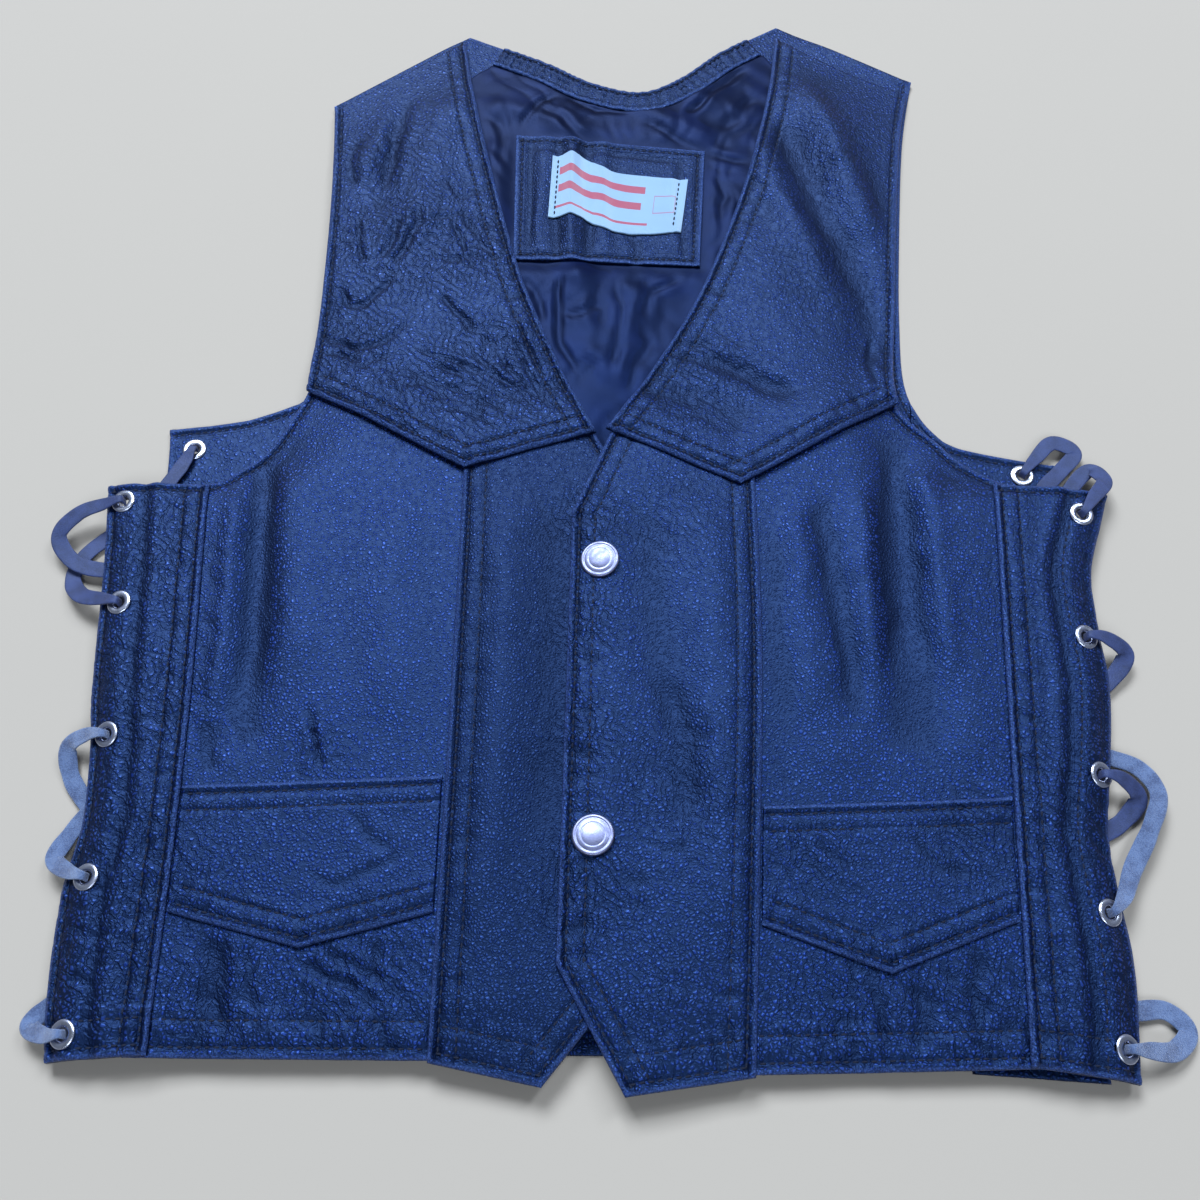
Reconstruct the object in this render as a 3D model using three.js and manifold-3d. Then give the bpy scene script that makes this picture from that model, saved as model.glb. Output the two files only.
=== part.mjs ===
// A leather vest with laced sides, laid flat on a table with its fronts up. Millimetres.
// +X is to the viewer's right, +Y towards the collar, +Z up from the table, which is Z = 0.
// Left and right are the viewer's. The origin lies under the front edge, midway down the back.
// Each cut piece is a thin wall between two heights over its own flat outline, so the layers
// stack as they do on the table: back, lining, laced bands, fronts, pocket flaps, yokes.

import * as THREE from "three";
import { mergeVertices } from "three/addons/utils/BufferGeometryUtils.js";
import Module from "manifold-3d";

const wasm = await Module();
wasm.setup();

// Thicknesses
const LEATHER = 1.4;
const FLAP_LEATHER = 1.2;
const LINING = 1.0;
const LABEL = 1.0;
const GAP = 0.3;
const LAYER = LEATHER + GAP;
const PROBE = 2;

// How high the fronts stand over the table
const FRONT_LAY = 9.4;
const BAND_RISE = 1.6;
const BAND_RISE_FROM = 150;
const BAND_RISE_OVER = 45;
const HEM_Y = -225;
const HEM_DROP = 1.0;
const HEM_REACH = 30;
const NECK_DROP = 1.7;
const NECK_REACH = 40;
const ARM_DROP = 4.0;
const ARM_REACH = 40;
const SHOULDER_LAY = 3.4;
const SHOULDER_REACH = 55;
const ROLL_WIDTH = 18;

// Seams
const TUCK = 12;
const YOKE_HOLD = 16;
const YOKE_EASE = 25;
const BAND_HOLD = 14;
const BAND_EASE = 8;
const OVERLAP_FROM = 24;
const OVERLAP_EASE = 30;

// Hardware
const EYELET = { flange: 6.2, barrel: 3.3, bore: 2.8, foot: 0.5, cap: 0.7, sides: 8 };
const SNAP = { radius: 9.8, height: 2.6, rim: 0.9, sides: 20 };

// Lace
const LACE = { width: 8.5, thickness: 1.2, neckWidth: 4.0, steps: 2, above: 1.7 };

// Edges of the left front, each row a point on the edge: x, y
const LEFT_NECK = [
  { x: -84.6, y: 390.7 },
  { x: -78.5, y: 349.9 },
  { x: -65.0, y: 284.4 },
  { x: -45.0, y: 201.7 },
  { x: -22.5, y: 139.7 },
  { x: -2.0, y: 92.5 },
];
const LEFT_ARMHOLE = [
  { x: -161.9, y: 329.8 },
  { x: -157.5, y: 268.8 },
  { x: -155.8, y: 194.6 },
  { x: -156.7, y: 135.1 },
  { x: -157.4, y: 120.7 },
];
const LEFT_UNDERARM = [
  { x: -157.0, y: 134.0 },
  { x: -157.4, y: 120.7 },
  { x: -167.2, y: 97.7 },
  { x: -177.5, y: 81.5 },
  { x: -186.8, y: 72.3 },
  { x: -196.6, y: 64.4 },
  { x: -209.0, y: 60.5 },
];
const LEFT_BAND_OUTER = [
  { x: -253.3, y: 60.2 },
  { x: -248.1, y: 13.8 },
  { x: -243.9, y: -47.8 },
  { x: -238.6, y: -86.5 },
  { x: -236.6, y: -119.0 },
  { x: -240.3, y: -148.2 },
  { x: -238.2, y: -197.6 },
  { x: -234.6, y: -221.1 },
];
const LEFT_BAND_SEAM = [
  { x: -200.7, y: 60.8 },
  { x: -192.8, y: -78.1 },
  { x: -190.0, y: -218.7 },
];
const LEFT_SIDE_HEM = [{ x: -201.0, y: -219.3 }];
const LEFT_YOKE_POINT = { x: -69.9, y: 69.3 };
const LEFT_CENTRE_SEAM = [
  { x: -70.5, y: 84.0 },
  { x: -71.1, y: -78.1 },
  { x: -72.6, y: -221.5 },
];
const LEFT_CENTRE_TOP = { x: -8.6, y: 104.0 };
const LEFT_FRONT_TIP = { x: -24.6, y: -231.3 };
const LEFT_FRONT_CORNER = { x: 18.0, y: -180.0 };
const LEFT_FRONT_BREAK = { x: 21.0, y: 47.0 };

// Edges of the right front
const RIGHT_NECK = [
  { x: 110.5, y: 393.4 },
  { x: 102.5, y: 341.5 },
  { x: 84.9, y: 268.8 },
  { x: 55.8, y: 187.5 },
  { x: 21.5, y: 123.3 },
  { x: 3.2, y: 93.7 },
];
const RIGHT_SHOULDER = [
  { x: 110.5, y: 393.4 },
  { x: 154.1, y: 362.2 },
  { x: 188.8, y: 344.0 },
];
const RIGHT_ARMHOLE = [
  { x: 188.8, y: 344.0 },
  { x: 179.5, y: 300.3 },
  { x: 169.4, y: 223.5 },
  { x: 162.4, y: 159.8 },
  { x: 158.2, y: 128.5 },
  { x: 158.7, y: 112.3 },
];
const RIGHT_UNDERARM = [
  { x: 158.4, y: 126.0 },
  { x: 158.7, y: 112.3 },
  { x: 165.1, y: 102.1 },
  { x: 177.4, y: 89.6 },
  { x: 187.4, y: 77.2 },
  { x: 201.7, y: 66.9 },
  { x: 211.0, y: 61.0 },
];
const RIGHT_BAND_OUTER = [
  { x: 260.6, y: 54.9 },
  { x: 253.9, y: 36.1 },
  { x: 247.3, y: 18.3 },
  { x: 244.4, y: 3.7 },
  { x: 244.1, y: -21.4 },
  { x: 244.4, y: -50.9 },
  { x: 238.5, y: -88.0 },
  { x: 231.5, y: -122.0 },
  { x: 231.4, y: -148.0 },
  { x: 232.6, y: -183.0 },
  { x: 227.1, y: -229.8 },
];
const RIGHT_BAND_SEAM = [
  { x: 202.0, y: 61.2 },
  { x: 188.8, y: -107.2 },
  { x: 180.1, y: -223.5 },
];
const RIGHT_SIDE_HEM = [
  { x: 190.0, y: -223.8 },
  { x: 125.5, y: -225.0 },
];
const RIGHT_YOKE_POINT = { x: 72.1, y: 59.6 };
const RIGHT_CENTRE_SEAM = [
  { x: 79.8, y: 77.0 },
  { x: 78.6, y: -26.8 },
  { x: 71.8, y: -135.1 },
  { x: 65.1, y: -227.4 },
];
const RIGHT_CENTRE_TOP = { x: 11.3, y: 106.5 };
const RIGHT_FRONT_BREAK = { x: -14.3, y: 43.0 };
const RIGHT_FRONT_CORNER = { x: -19.1, y: -181.7 };
const RIGHT_FRONT_TIP = { x: 10.4, y: -235.2 };

// Edges of the back
const BACK_NECK = [
  { x: -82.5, y: 397.5 },
  { x: -34.5, y: 374.4 },
  { x: -6.2, y: 357.1 },
  { x: 24.7, y: 348.5 },
  { x: 49.8, y: 360.5 },
  { x: 75.6, y: 383.2 },
  { x: 112.2, y: 406.5 },
];
const BACK_LEFT_SHOULDER = [
  { x: -82.5, y: 397.5 },
  { x: -163.0, y: 336.0 },
];
const BACK_RIGHT_SHOULDER = [
  { x: 112.2, y: 406.5 },
  { x: 157.1, y: 378.8 },
  { x: 193.0, y: 356.2 },
];
const BACK_LEFT_SIDE = [
  { x: -163.0, y: 336.0 },
  { x: -156.0, y: 270.0 },
  { x: -154.5, y: 200.0 },
  { x: -156.0, y: 135.0 },
  { x: -163.0, y: 117.2 },
  { x: -186.0, y: 107.5 },
];
const BACK_RIGHT_SIDE = [
  { x: 193.0, y: 356.2 },
  { x: 182.5, y: 305.0 },
  { x: 173.2, y: 230.0 },
  { x: 167.5, y: 173.0 },
  { x: 165.8, y: 129.0 },
  { x: 174.4, y: 103.0 },
  { x: 186.0, y: 90.5 },
];
const BACK_SEAM_X = 186;
const BACK_HEM_LEFT = { x: -184.0, y: -216.0 };
const BACK_HEM_RIGHT = { x: 184.0, y: -219.0 };
const BACK_BAND = { base: 0.8, inner: 158, thickness: 1.2, ease: 6 };
const BACK_BAND_LEFT = {
  top: [
    { x: -158.5, y: 119.0 },
    { x: -163.0, y: 116.4 },
    { x: -190.3, y: 105.6 },
    { x: -229.6, y: 99.9 },
  ],
  outer: [
    { x: -229.6, y: 99.9 },
    { x: -226.7, y: 65.7 },
    { x: -222.5, y: -60.0 },
    { x: -220.0, y: -219.0 },
  ],
};
const BACK_BAND_RIGHT = {
  top: [
    { x: 167.0, y: 118.0 },
    { x: 174.4, y: 102.2 },
    { x: 186.0, y: 90.0 },
    { x: 205.0, y: 84.0 },
    { x: 239.4, y: 77.0 },
  ],
  outer: [
    { x: 239.4, y: 77.0 },
    { x: 231.0, y: -20.0 },
    { x: 224.0, y: -120.0 },
    { x: 216.2, y: -229.0 },
  ],
};

// What lies inside the neck
const NECK_FACING = { width: 16, from: 0.11, to: 0.9 };
const LINING_CUT = { left: -128, right: 142, shoulder: 318, hem: -203, facing: 17.5 };
const PATCH = [
  { x: -50.7, y: 310.8 },
  { x: 62.9, y: 297.9 },
  { x: -49.7, y: 215.1 },
  { x: 56.9, y: 210.0 },
];
const LABEL_CORNERS = [
  { x: -28.1, y: 291.5 },
  { x: 52.0, y: 274.1 },
  { x: -30.2, y: 244.9 },
  { x: 46.8, y: 234.3 },
];

// Pocket flaps: top left, top right, lower left, point, lower right
const LEFT_FLAP = [
  { x: -191.4, y: -101.0 },
  { x: -72.7, y: -95.8 },
  { x: -190.3, y: -158.7 },
  { x: -131.2, y: -174.3 },
  { x: -73.2, y: -158.7 },
];
const RIGHT_FLAP = [
  { x: 74.3, y: -110.5 },
  { x: 187.9, y: -106.7 },
  { x: 70.9, y: -164.4 },
  { x: 125.8, y: -185.3 },
  { x: 183.7, y: -163.1 },
];

// Soft folds of the fronts: a line from x0, y0 to x1, y1, its half width, and how far it lifts
const FRONT_FOLDS = [
  { x0: -172, y0: 85, x1: -168, y1: -70, width: 13, height: -1.5 },
  { x0: -128, y0: 70, x1: -138, y1: -60, width: 26, height: 1.5 },
  { x0: -42, y0: 40, x1: -48, y1: -190, width: 18, height: 1.5 },
  { x0: -178, y0: -165, x1: -172, y1: -215, width: 12, height: -1.3 },
  { x0: -112, y0: 345, x1: -126, y1: 255, width: 13, height: -2.2 },
  { x0: -92, y0: 325, x1: -104, y1: 235, width: 14, height: 1.8 },
  { x0: -142, y0: 290, x1: -144, y1: 200, width: 14, height: 1.4 },
  { x0: -120, y0: 190, x1: -70, y1: 150, width: 15, height: -1.4 },
  { x0: -62, y0: 220, x1: -40, y1: 150, width: 15, height: 1.4 },
  { x0: 116, y0: 300, x1: 150, y1: 150, width: 15, height: -2.4 },
  { x0: 128, y0: 340, x1: 146, y1: 240, width: 14, height: 1.8 },
  { x0: 88, y0: 215, x1: 112, y1: 110, width: 20, height: 1.6 },
  { x0: 152, y0: 85, x1: 147, y1: -70, width: 16, height: -1.8 },
  { x0: 112, y0: 50, x1: 108, y1: -80, width: 18, height: 1.3 },
  { x0: 181, y0: 40, x1: 173, y1: -80, width: 14, height: 1.1 },
  { x0: 52, y0: 40, x1: 46, y1: -190, width: 20, height: 1.3 },
  { x0: 112, y0: -190, x1: 108, y1: -224, width: 12, height: -1.0 },
];

// Folds of the lining inside the neck
const LINING_FOLDS = [
  { x0: -60, y0: 335, x1: -30, y1: 325, width: 8, height: 1.6 },
  { x0: 20, y0: 338, x1: 62, y1: 312, width: 7, height: 1.8 },
  { x0: 50, y0: 350, x1: 84, y1: 330, width: 8, height: 1.5 },
  { x0: -64, y0: 300, x1: -58, y1: 240, width: 8, height: 1.4 },
  { x0: -12, y0: 204, x1: -6, y1: 150, width: 8, height: 1.8 },
  { x0: 16, y0: 190, x1: 8, y1: 140, width: 9, height: 1.5 },
  { x0: -22, y0: 330, x1: -16, y1: 205, width: 10, height: 1.8 },
];

// How far each side's band rolls down at its outer edge, at its top and at its hem
const LEFT_ROLL = { top: 3.4, hem: 6.2 };
const RIGHT_ROLL = { top: 4.4, hem: 6.4 };

// Eyelets, from the armhole down
const FRONT_EYELETS = {
  left: [
    { x: -242.2, y: 49.8 },
    { x: -235.0, y: -7.6 },
    { x: -229.5, y: -75.8 },
    { x: -227.7, y: -143.4 },
    { x: -225.8, y: -210.0 },
  ],
  right: [
    { x: 243.5, y: 42.2 },
    { x: 234.6, y: -25.9 },
    { x: 230.4, y: -94.9 },
    { x: 223.4, y: -158.9 },
    { x: 220.4, y: -216.0 },
  ],
};
const BACK_EYELETS = {
  left: [
    { x: -214.5, y: 87.3 },
    { x: -212.5, y: 19.0 },
    { x: -211.0, y: -49.0 },
    { x: -210.0, y: -117.0 },
    { x: -209.0, y: -185.0 },
  ],
  right: [
    { x: 221.0, y: 71.0 },
    { x: 219.5, y: 5.0 },
    { x: 214.5, y: -62.0 },
    { x: 210.0, y: -129.0 },
    { x: 205.5, y: -196.0 },
  ],
};
const SNAPS = [
  { x: 0.0, y: 14.8 },
  { x: -3.1, y: -124.9 },
];

// Laces. Each leaves one eyelet, runs over the edge of the front band and in between the bands, and
// enters another. The rows are its middle line between the two.
const LACES = {
  lace_left_1: {
    from: "front_eyelet_left_1",
    to: "back_eyelet_left_2",
    rows: [
      { x: -252.5, y: 48.0, z: 13.0 },
      { x: -265.0, y: 44.0, z: 10.6 },
      { x: -274.6, y: 33.0, z: 7.4 },
      { x: -266.0, y: 19.4, z: 5.0 },
      { x: -250.0, y: 14.6, z: 4.4 },
      { x: -234.0, y: 16.8, z: 4.8 },
      { x: -222.0, y: 18.6, z: 5.2 },
    ],
  },
  lace_left_2: {
    from: "front_eyelet_left_2",
    to: "back_eyelet_left_1",
    rows: [
      { x: -245.0, y: -5.4, z: 12.4 },
      { x: -257.4, y: -1.0, z: 7.4 },
      { x: -265.4, y: 10.4, z: 2.2 },
      { x: -262.0, y: 24.0, z: 1.5 },
      { x: -248.0, y: 38.0, z: 1.9 },
      { x: -232.5, y: 53.0, z: 4.1 },
      { x: -222.0, y: 70.0, z: 4.9 },
      { x: -217.5, y: 79.0, z: 5.3 },
    ],
  },
  lace_left_3: {
    from: "front_eyelet_left_3",
    to: "back_eyelet_left_4",
    rows: [
      { x: -239.6, y: -75.6, z: 11.6 },
      { x: -249.5, y: -79.6, z: 6.4 },
      { x: -248.4, y: -92.0, z: 2.0 },
      { x: -239.4, y: -105.0, z: 1.4 },
      { x: -229.5, y: -113.5, z: 2.0 },
      { x: -219.0, y: -116.6, z: 4.9 },
    ],
  },
  lace_left_4: {
    from: "front_eyelet_left_4",
    to: "back_eyelet_left_3",
    rows: [
      { x: -237.6, y: -140.4, z: 11.0 },
      { x: -246.4, y: -133.5, z: 6.6 },
      { x: -242.4, y: -121.4, z: 4.2 },
      { x: -232.0, y: -105.0, z: 4.2 },
      { x: -220.5, y: -78.0, z: 5.0 },
      { x: -213.8, y: -59.0, z: 5.2 },
    ],
  },
  lace_left_5: {
    from: "front_eyelet_left_5",
    to: "back_eyelet_left_5",
    rows: [
      { x: -235.6, y: -210.4, z: 10.4 },
      { x: -244.0, y: -206.0, z: 6.0 },
      { x: -239.0, y: -198.0, z: 3.4 },
      { x: -228.0, y: -191.5, z: 4.4 },
      { x: -218.0, y: -187.4, z: 5.2 },
    ],
  },
  lace_right_1: {
    from: "front_eyelet_right_1",
    to: "back_eyelet_right_2",
    rows: [
      { x: 251.4, y: 51.2, z: 15.2 },
      { x: 259.6, y: 62.6, z: 11.4 },
      { x: 255.6, y: 72.0, z: 6.6 },
      { x: 244.0, y: 61.0, z: 4.9 },
      { x: 233.5, y: 38.0, z: 4.9 },
      { x: 224.0, y: 15.0, z: 5.2 },
    ],
  },
  lace_right_2: {
    from: "back_eyelet_right_1",
    to: null,
    rows: [
      { x: 229.2, y: 80.6, z: 5.2 },
      { x: 239.5, y: 90.0, z: 4.8 },
      { x: 250.0, y: 84.4, z: 4.2 },
      { x: 241.5, y: 73.4, z: 4.4 },
      { x: 229.5, y: 60.0, z: 6.6 },
      { x: 223.4, y: 44.0, z: 7.0 },
      { x: 222.0, y: 20.0, z: 7.2 },
      { x: 224.0, y: -6.0, z: 7.2 },
    ],
  },
  lace_right_3: {
    from: "front_eyelet_right_2",
    to: "back_eyelet_right_3",
    rows: [
      { x: 245.0, y: -26.2, z: 12.2 },
      { x: 255.0, y: -32.6, z: 7.4 },
      { x: 247.4, y: -44.6, z: 4.2 },
      { x: 234.0, y: -53.5, z: 4.6 },
      { x: 223.0, y: -59.6, z: 5.2 },
    ],
  },
  lace_right_4: {
    from: "front_eyelet_right_3",
    to: "back_eyelet_right_4",
    rows: [
      { x: 240.6, y: -97.0, z: 11.2 },
      { x: 249.0, y: -104.6, z: 5.4 },
      { x: 241.5, y: -114.5, z: 1.6 },
      { x: 231.0, y: -121.0, z: 2.4 },
      { x: 223.6, y: -124.6, z: 4.4 },
      { x: 218.0, y: -127.0, z: 5.0 },
    ],
  },
  lace_right_5: {
    from: "front_eyelet_right_4",
    to: null,
    rows: [
      { x: 231.4, y: -152.6, z: 12.0 },
      { x: 239.0, y: -139.0, z: 8.4 },
      { x: 250.5, y: -120.0, z: 9.0 },
      { x: 257.6, y: -103.0, z: 7.6 },
      { x: 252.0, y: -90.0, z: 4.6 },
      { x: 238.0, y: -84.0, z: 4.2 },
      { x: 224.0, y: -79.0, z: 5.4 },
    ],
  },
  lace_right_6: {
    from: "front_eyelet_right_5",
    to: "back_eyelet_right_5",
    rows: [
      { x: 231.0, y: -216.6, z: 11.0 },
      { x: 244.6, y: -216.0, z: 5.6 },
      { x: 252.6, y: -207.5, z: 2.8 },
      { x: 245.0, y: -199.2, z: 2.0 },
      { x: 230.0, y: -199.4, z: 3.0 },
      { x: 216.0, y: -198.0, z: 5.2 },
    ],
  },
};

// Colours
const COLOURS = {
  leather: { color: 0x1c2444, roughness: 0.42, metalness: 0 },
  lining: { color: 0x141a38, roughness: 0.35, metalness: 0 },
  label: { color: 0xb9cdea, roughness: 0.6, metalness: 0 },
  lace: { color: 0x2a3358, roughness: 0.8, metalness: 0 },
  nickel: { color: 0xc9cede, roughness: 0.25, metalness: 1 },
};

const point = (row) => new THREE.Vector2(row.x, row.y);
const clamp01 = (t) => Math.min(1, Math.max(0, t));
const ease = (t) => THREE.MathUtils.smoothstep(t, 0, 1);

// A smooth edge through its rows, as a function of the share of its length.
function smooth(rows) {
  const curve = new THREE.SplineCurve(rows.map(point));
  return (t) => curve.getPointAt(clamp01(t));
}

// A straight edge from one row to another.
function straight(from, to) {
  return (t) => point(from).lerp(point(to), t);
}

// Edges end to end, where stops says at which of the grid's lines each one hands over to the next.
function joined(edges, stops, lines) {
  const marks = [0, ...stops, lines];
  return (t) => {
    const at = t * lines;
    const i = stops.filter((stop) => at > stop + 1e-6).length;
    return edges[i](clamp01((at - marks[i]) / (marks[i + 1] - marks[i])));
  };
}

// The flat outline of a piece with four edges: u runs across, v runs down.
// It is the sum of the two ruled surfaces between facing edges, less the corners' own.
function outline(top, bottom, left, right) {
  const corner = [top(0), top(1), bottom(0), bottom(1)];
  return (u, v) => {
    const p = top(u).multiplyScalar(1 - v);
    p.addScaledVector(bottom(u), v);
    p.addScaledVector(left(v), 1 - u);
    p.addScaledVector(right(v), u);
    p.addScaledVector(corner[0], -(1 - u) * (1 - v));
    p.addScaledVector(corner[1], -u * (1 - v));
    p.addScaledVector(corner[2], -(1 - u) * v);
    p.addScaledVector(corner[3], -u * v);
    return p;
  };
}

// How far a place is from a row of straight runs.
function distanceTo(rows, x, y) {
  let nearest = Infinity;
  for (let i = 1; i < rows.length; i++) {
    const a = rows[i - 1];
    const dx = rows[i].x - a.x;
    const dy = rows[i].y - a.y;
    const t = clamp01(((x - a.x) * dx + (y - a.y) * dy) / (dx * dx + dy * dy));
    nearest = Math.min(nearest, Math.hypot(x - a.x - t * dx, y - a.y - t * dy));
  }
  return nearest;
}

// The x of an edge at a height y, where the edge runs down the page.
function edgeAt(rows, y) {
  let i = 1;
  while (i < rows.length - 1 && rows[i].y > y) i++;
  const a = rows[i - 1];
  const b = rows[i];
  return a.x + ((b.x - a.x) * (y - a.y)) / (b.y - a.y);
}

// Soft ridges and troughs: each fold is a bell across its line.
function foldsAt(folds, x, y) {
  let height = 0;
  for (const f of folds) {
    const run = [
      { x: f.x0, y: f.y0 },
      { x: f.x1, y: f.y1 },
    ];
    const d = distanceTo(run, x, y) / f.width;
    height += f.height * Math.exp(-d * d);
  }
  return height;
}

// How far a band's outer edge has rolled down at a place.
function rollAt(rows, roll, x, y) {
  const inside = clamp01(Math.abs(edgeAt(rows, y) - x) / ROLL_WIDTH);
  const down = clamp01((rows[0].y - y) / (rows[0].y - HEM_Y));
  const depth = THREE.MathUtils.lerp(roll.top, roll.hem, ease(down * 2.2));
  return depth * (1 - Math.sin((inside * Math.PI) / 2));
}

const LEFT_ARM_EDGE = [...LEFT_ARMHOLE, ...LEFT_UNDERARM.slice(2, 6)];
const RIGHT_ARM_EDGE = [...RIGHT_ARMHOLE, ...RIGHT_UNDERARM.slice(2, 6)];
const LEFT_SHOULDER = [LEFT_NECK[0], LEFT_ARMHOLE[0]];

// The underside of the lowest layer of the fronts over any place on the table.
function frontLay(x, y) {
  const side = ease((Math.abs(x) - BAND_RISE_FROM) / BAND_RISE_OVER);
  let z = FRONT_LAY + BAND_RISE * side * ease((90 - y) / 40);
  z -= HEM_DROP * (1 - ease((y - HEM_Y) / HEM_REACH));
  z += foldsAt(FRONT_FOLDS, x, y);
  const neck = Math.min(distanceTo(LEFT_NECK, x, y), distanceTo(RIGHT_NECK, x, y));
  z -= NECK_DROP * (1 - ease(neck / NECK_REACH));
  const arm = Math.min(distanceTo(LEFT_ARM_EDGE, x, y), distanceTo(RIGHT_ARM_EDGE, x, y));
  z -= ARM_DROP * (1 - ease(arm / ARM_REACH)) * ease((y - 45) / 25);
  z -= x < 0 ? rollAt(LEFT_BAND_OUTER, LEFT_ROLL, x, y) : rollAt(RIGHT_BAND_OUTER, RIGHT_ROLL, x, y);
  const shoulder = Math.min(distanceTo(LEFT_SHOULDER, x, y), distanceTo(RIGHT_SHOULDER, x, y));
  return THREE.MathUtils.lerp(SHOULDER_LAY, z, ease(shoulder / SHOULDER_REACH));
}

// The right centre panel climbs one layer where it laps over the left one.
const overlapLift = (x) => LAYER * (1 - ease((x - OVERLAP_FROM) / OVERLAP_EASE));

// A yoke is held one or two layers up along its pointed edge, and settles above it.
function yokeLift(rows, x, y, extra) {
  const d = distanceTo(rows, x, y);
  return (2 * LAYER + extra) * (1 - ease((d - YOKE_HOLD) / YOKE_EASE));
}

// A flat outline between four corners: upper left, upper right, lower left, lower right.
function quad([upperLeft, upperRight, lowerLeft, lowerRight]) {
  return outline(
    straight(upperLeft, upperRight),
    straight(lowerLeft, lowerRight),
    straight(upperLeft, lowerLeft),
    straight(upperRight, lowerRight),
  );
}

// The underside of the back's lining, with its folds.
const liningLay = (x, y) => LEATHER + GAP + foldsAt(LINING_FOLDS, x, y);

// A cut piece: a grid of places over its outline, each with the height of its two faces.
function cut(plan, across, down, low, high) {
  const piece = { across, down, x: [], y: [], low: [], high: [] };
  for (let j = 0; j <= down; j++) {
    for (let i = 0; i <= across; i++) {
      const p = plan(i / across, j / down);
      piece.x.push(p.x);
      piece.y.push(p.y);
      piece.low.push(low(p.x, p.y));
      piece.high.push(high(p.x, p.y));
    }
  }
  return piece;
}

// The triangles of one face of a piece, as places in its grid, counterclockwise from above.
function triangles({ across, down }) {
  const row = across + 1;
  const list = [];
  for (let j = 0; j < down; j++) {
    for (let i = 0; i < across; i++) {
      const a = j * row + i;
      list.push([a, a + row, a + row + 1], [a, a + row + 1, a + 1]);
    }
  }
  return list;
}

// Visits the points of a fine square lattice that lie inside each triangle of a piece.
function probe(piece, heights, visit) {
  for (const tri of triangles(piece)) {
    const [a, b, c] = tri;
    const { x, y } = piece;
    const area = (x[b] - x[a]) * (y[c] - y[a]) - (x[c] - x[a]) * (y[b] - y[a]);
    const xs = tri.map((k) => x[k] / PROBE);
    const ys = tri.map((k) => y[k] / PROBE);
    for (let m = Math.ceil(Math.min(...xs)); m <= Math.max(...xs); m++) {
      for (let n = Math.ceil(Math.min(...ys)); n <= Math.max(...ys); n++) {
        const px = m * PROBE;
        const py = n * PROBE;
        const wb = ((px - x[a]) * (y[c] - y[a]) - (x[c] - x[a]) * (py - y[a])) / area;
        const wc = ((x[b] - x[a]) * (py - y[a]) - (px - x[a]) * (y[b] - y[a])) / area;
        if (wb < -0.02 || wc < -0.02 || wb + wc > 1.02) continue;
        const z = heights[a] * (1 - wb - wc) + heights[b] * wb + heights[c] * wc;
        visit(`${m},${n}`, z, tri);
      }
    }
  }
}

// Lays a piece on those under it: raises it just enough to clear their upper faces by the gap.
function layOn(piece, ...under) {
  const tops = new Map();
  for (const lower of under) {
    probe(lower, lower.high, (key, z) => tops.set(key, Math.max(z, tops.get(key) ?? -Infinity)));
  }
  const raise = piece.low.map(() => 0);
  probe(piece, piece.low, (key, z, tri) => {
    const short = (tops.get(key) ?? -Infinity) + GAP - z;
    if (short > 0) for (const k of tri) raise[k] = Math.max(raise[k], short);
  });
  piece.low = piece.low.map((z, k) => z + raise[k]);
  piece.high = piece.high.map((z, k) => z + raise[k]);
  return piece;
}

// The closed wall of a piece: its upper face, its lower face and the rim between them.
function wall(piece) {
  const { across, down, x, y, low, high } = piece;
  const row = across + 1;
  const layer = x.length;
  const positions = [];
  for (const heights of [high, low]) {
    heights.forEach((z, k) => positions.push(x[k], y[k], z));
  }
  const index = [];
  for (const [a, b, c] of triangles(piece)) {
    index.push(a, b, c, layer + a, layer + c, layer + b);
  }
  // The rim, walked once round the outline with the upper face on the left.
  const rim = [];
  for (let j = 0; j < down; j++) rim.push(j * row);
  for (let i = 0; i < across; i++) rim.push(down * row + i);
  for (let j = down; j > 0; j--) rim.push(j * row + across);
  for (let i = across; i > 0; i--) rim.push(i);
  rim.forEach((a, k) => {
    const b = rim[(k + 1) % rim.length];
    index.push(a, layer + a, layer + b, a, layer + b, b);
  });
  const geometry = new THREE.BufferGeometry();
  geometry.setAttribute("position", new THREE.Float32BufferAttribute(positions, 3));
  geometry.setIndex(index);
  return geometry;
}

const materials = Object.fromEntries(
  Object.entries(COLOURS).map(([key, look]) => [key, new THREE.MeshStandardMaterial(look)]),
);
const vest = new THREE.Group();

function add(name, geometry, material) {
  geometry.computeVertexNormals();
  const mesh = new THREE.Mesh(geometry, materials[material]);
  mesh.name = name;
  vest.add(mesh);
  return mesh;
}

// A piece that follows the fronts' lay, moved up by lift, with its own thickness.
function frontCut(plan, across, down, lift, thickness) {
  const low = (x, y) => frontLay(x, y) + lift(x, y);
  return cut(plan, across, down, low, (x, y) => low(x, y) + thickness);
}

// Booleans
function solidOf(geometry) {
  const bare = geometry.clone();
  bare.deleteAttribute("normal");
  bare.deleteAttribute("uv");
  const merged = mergeVertices(bare, 1e-3);
  const vertProperties = merged.attributes.position.array;
  const triVerts = new Uint32Array(merged.index.array);
  return new wasm.Manifold(new wasm.Mesh({ numProp: 3, vertProperties, triVerts }));
}

function geometryOf(solid) {
  const mesh = solid.getMesh();
  const geometry = new THREE.BufferGeometry();
  geometry.setAttribute("position", new THREE.BufferAttribute(new Float32Array(mesh.vertProperties), 3));
  geometry.setIndex(new THREE.BufferAttribute(new Uint32Array(mesh.triVerts), 1));
  return geometry;
}

// The way a surface faces at a place.
function facing(height, x, y) {
  const step = 2;
  const slopeX = (height(x + step, y) - height(x - step, y)) / (2 * step);
  const slopeY = (height(x, y + step) - height(x, y - step)) / (2 * step);
  return new THREE.Vector3(-slopeX, -slopeY, 1).normalize();
}

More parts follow.
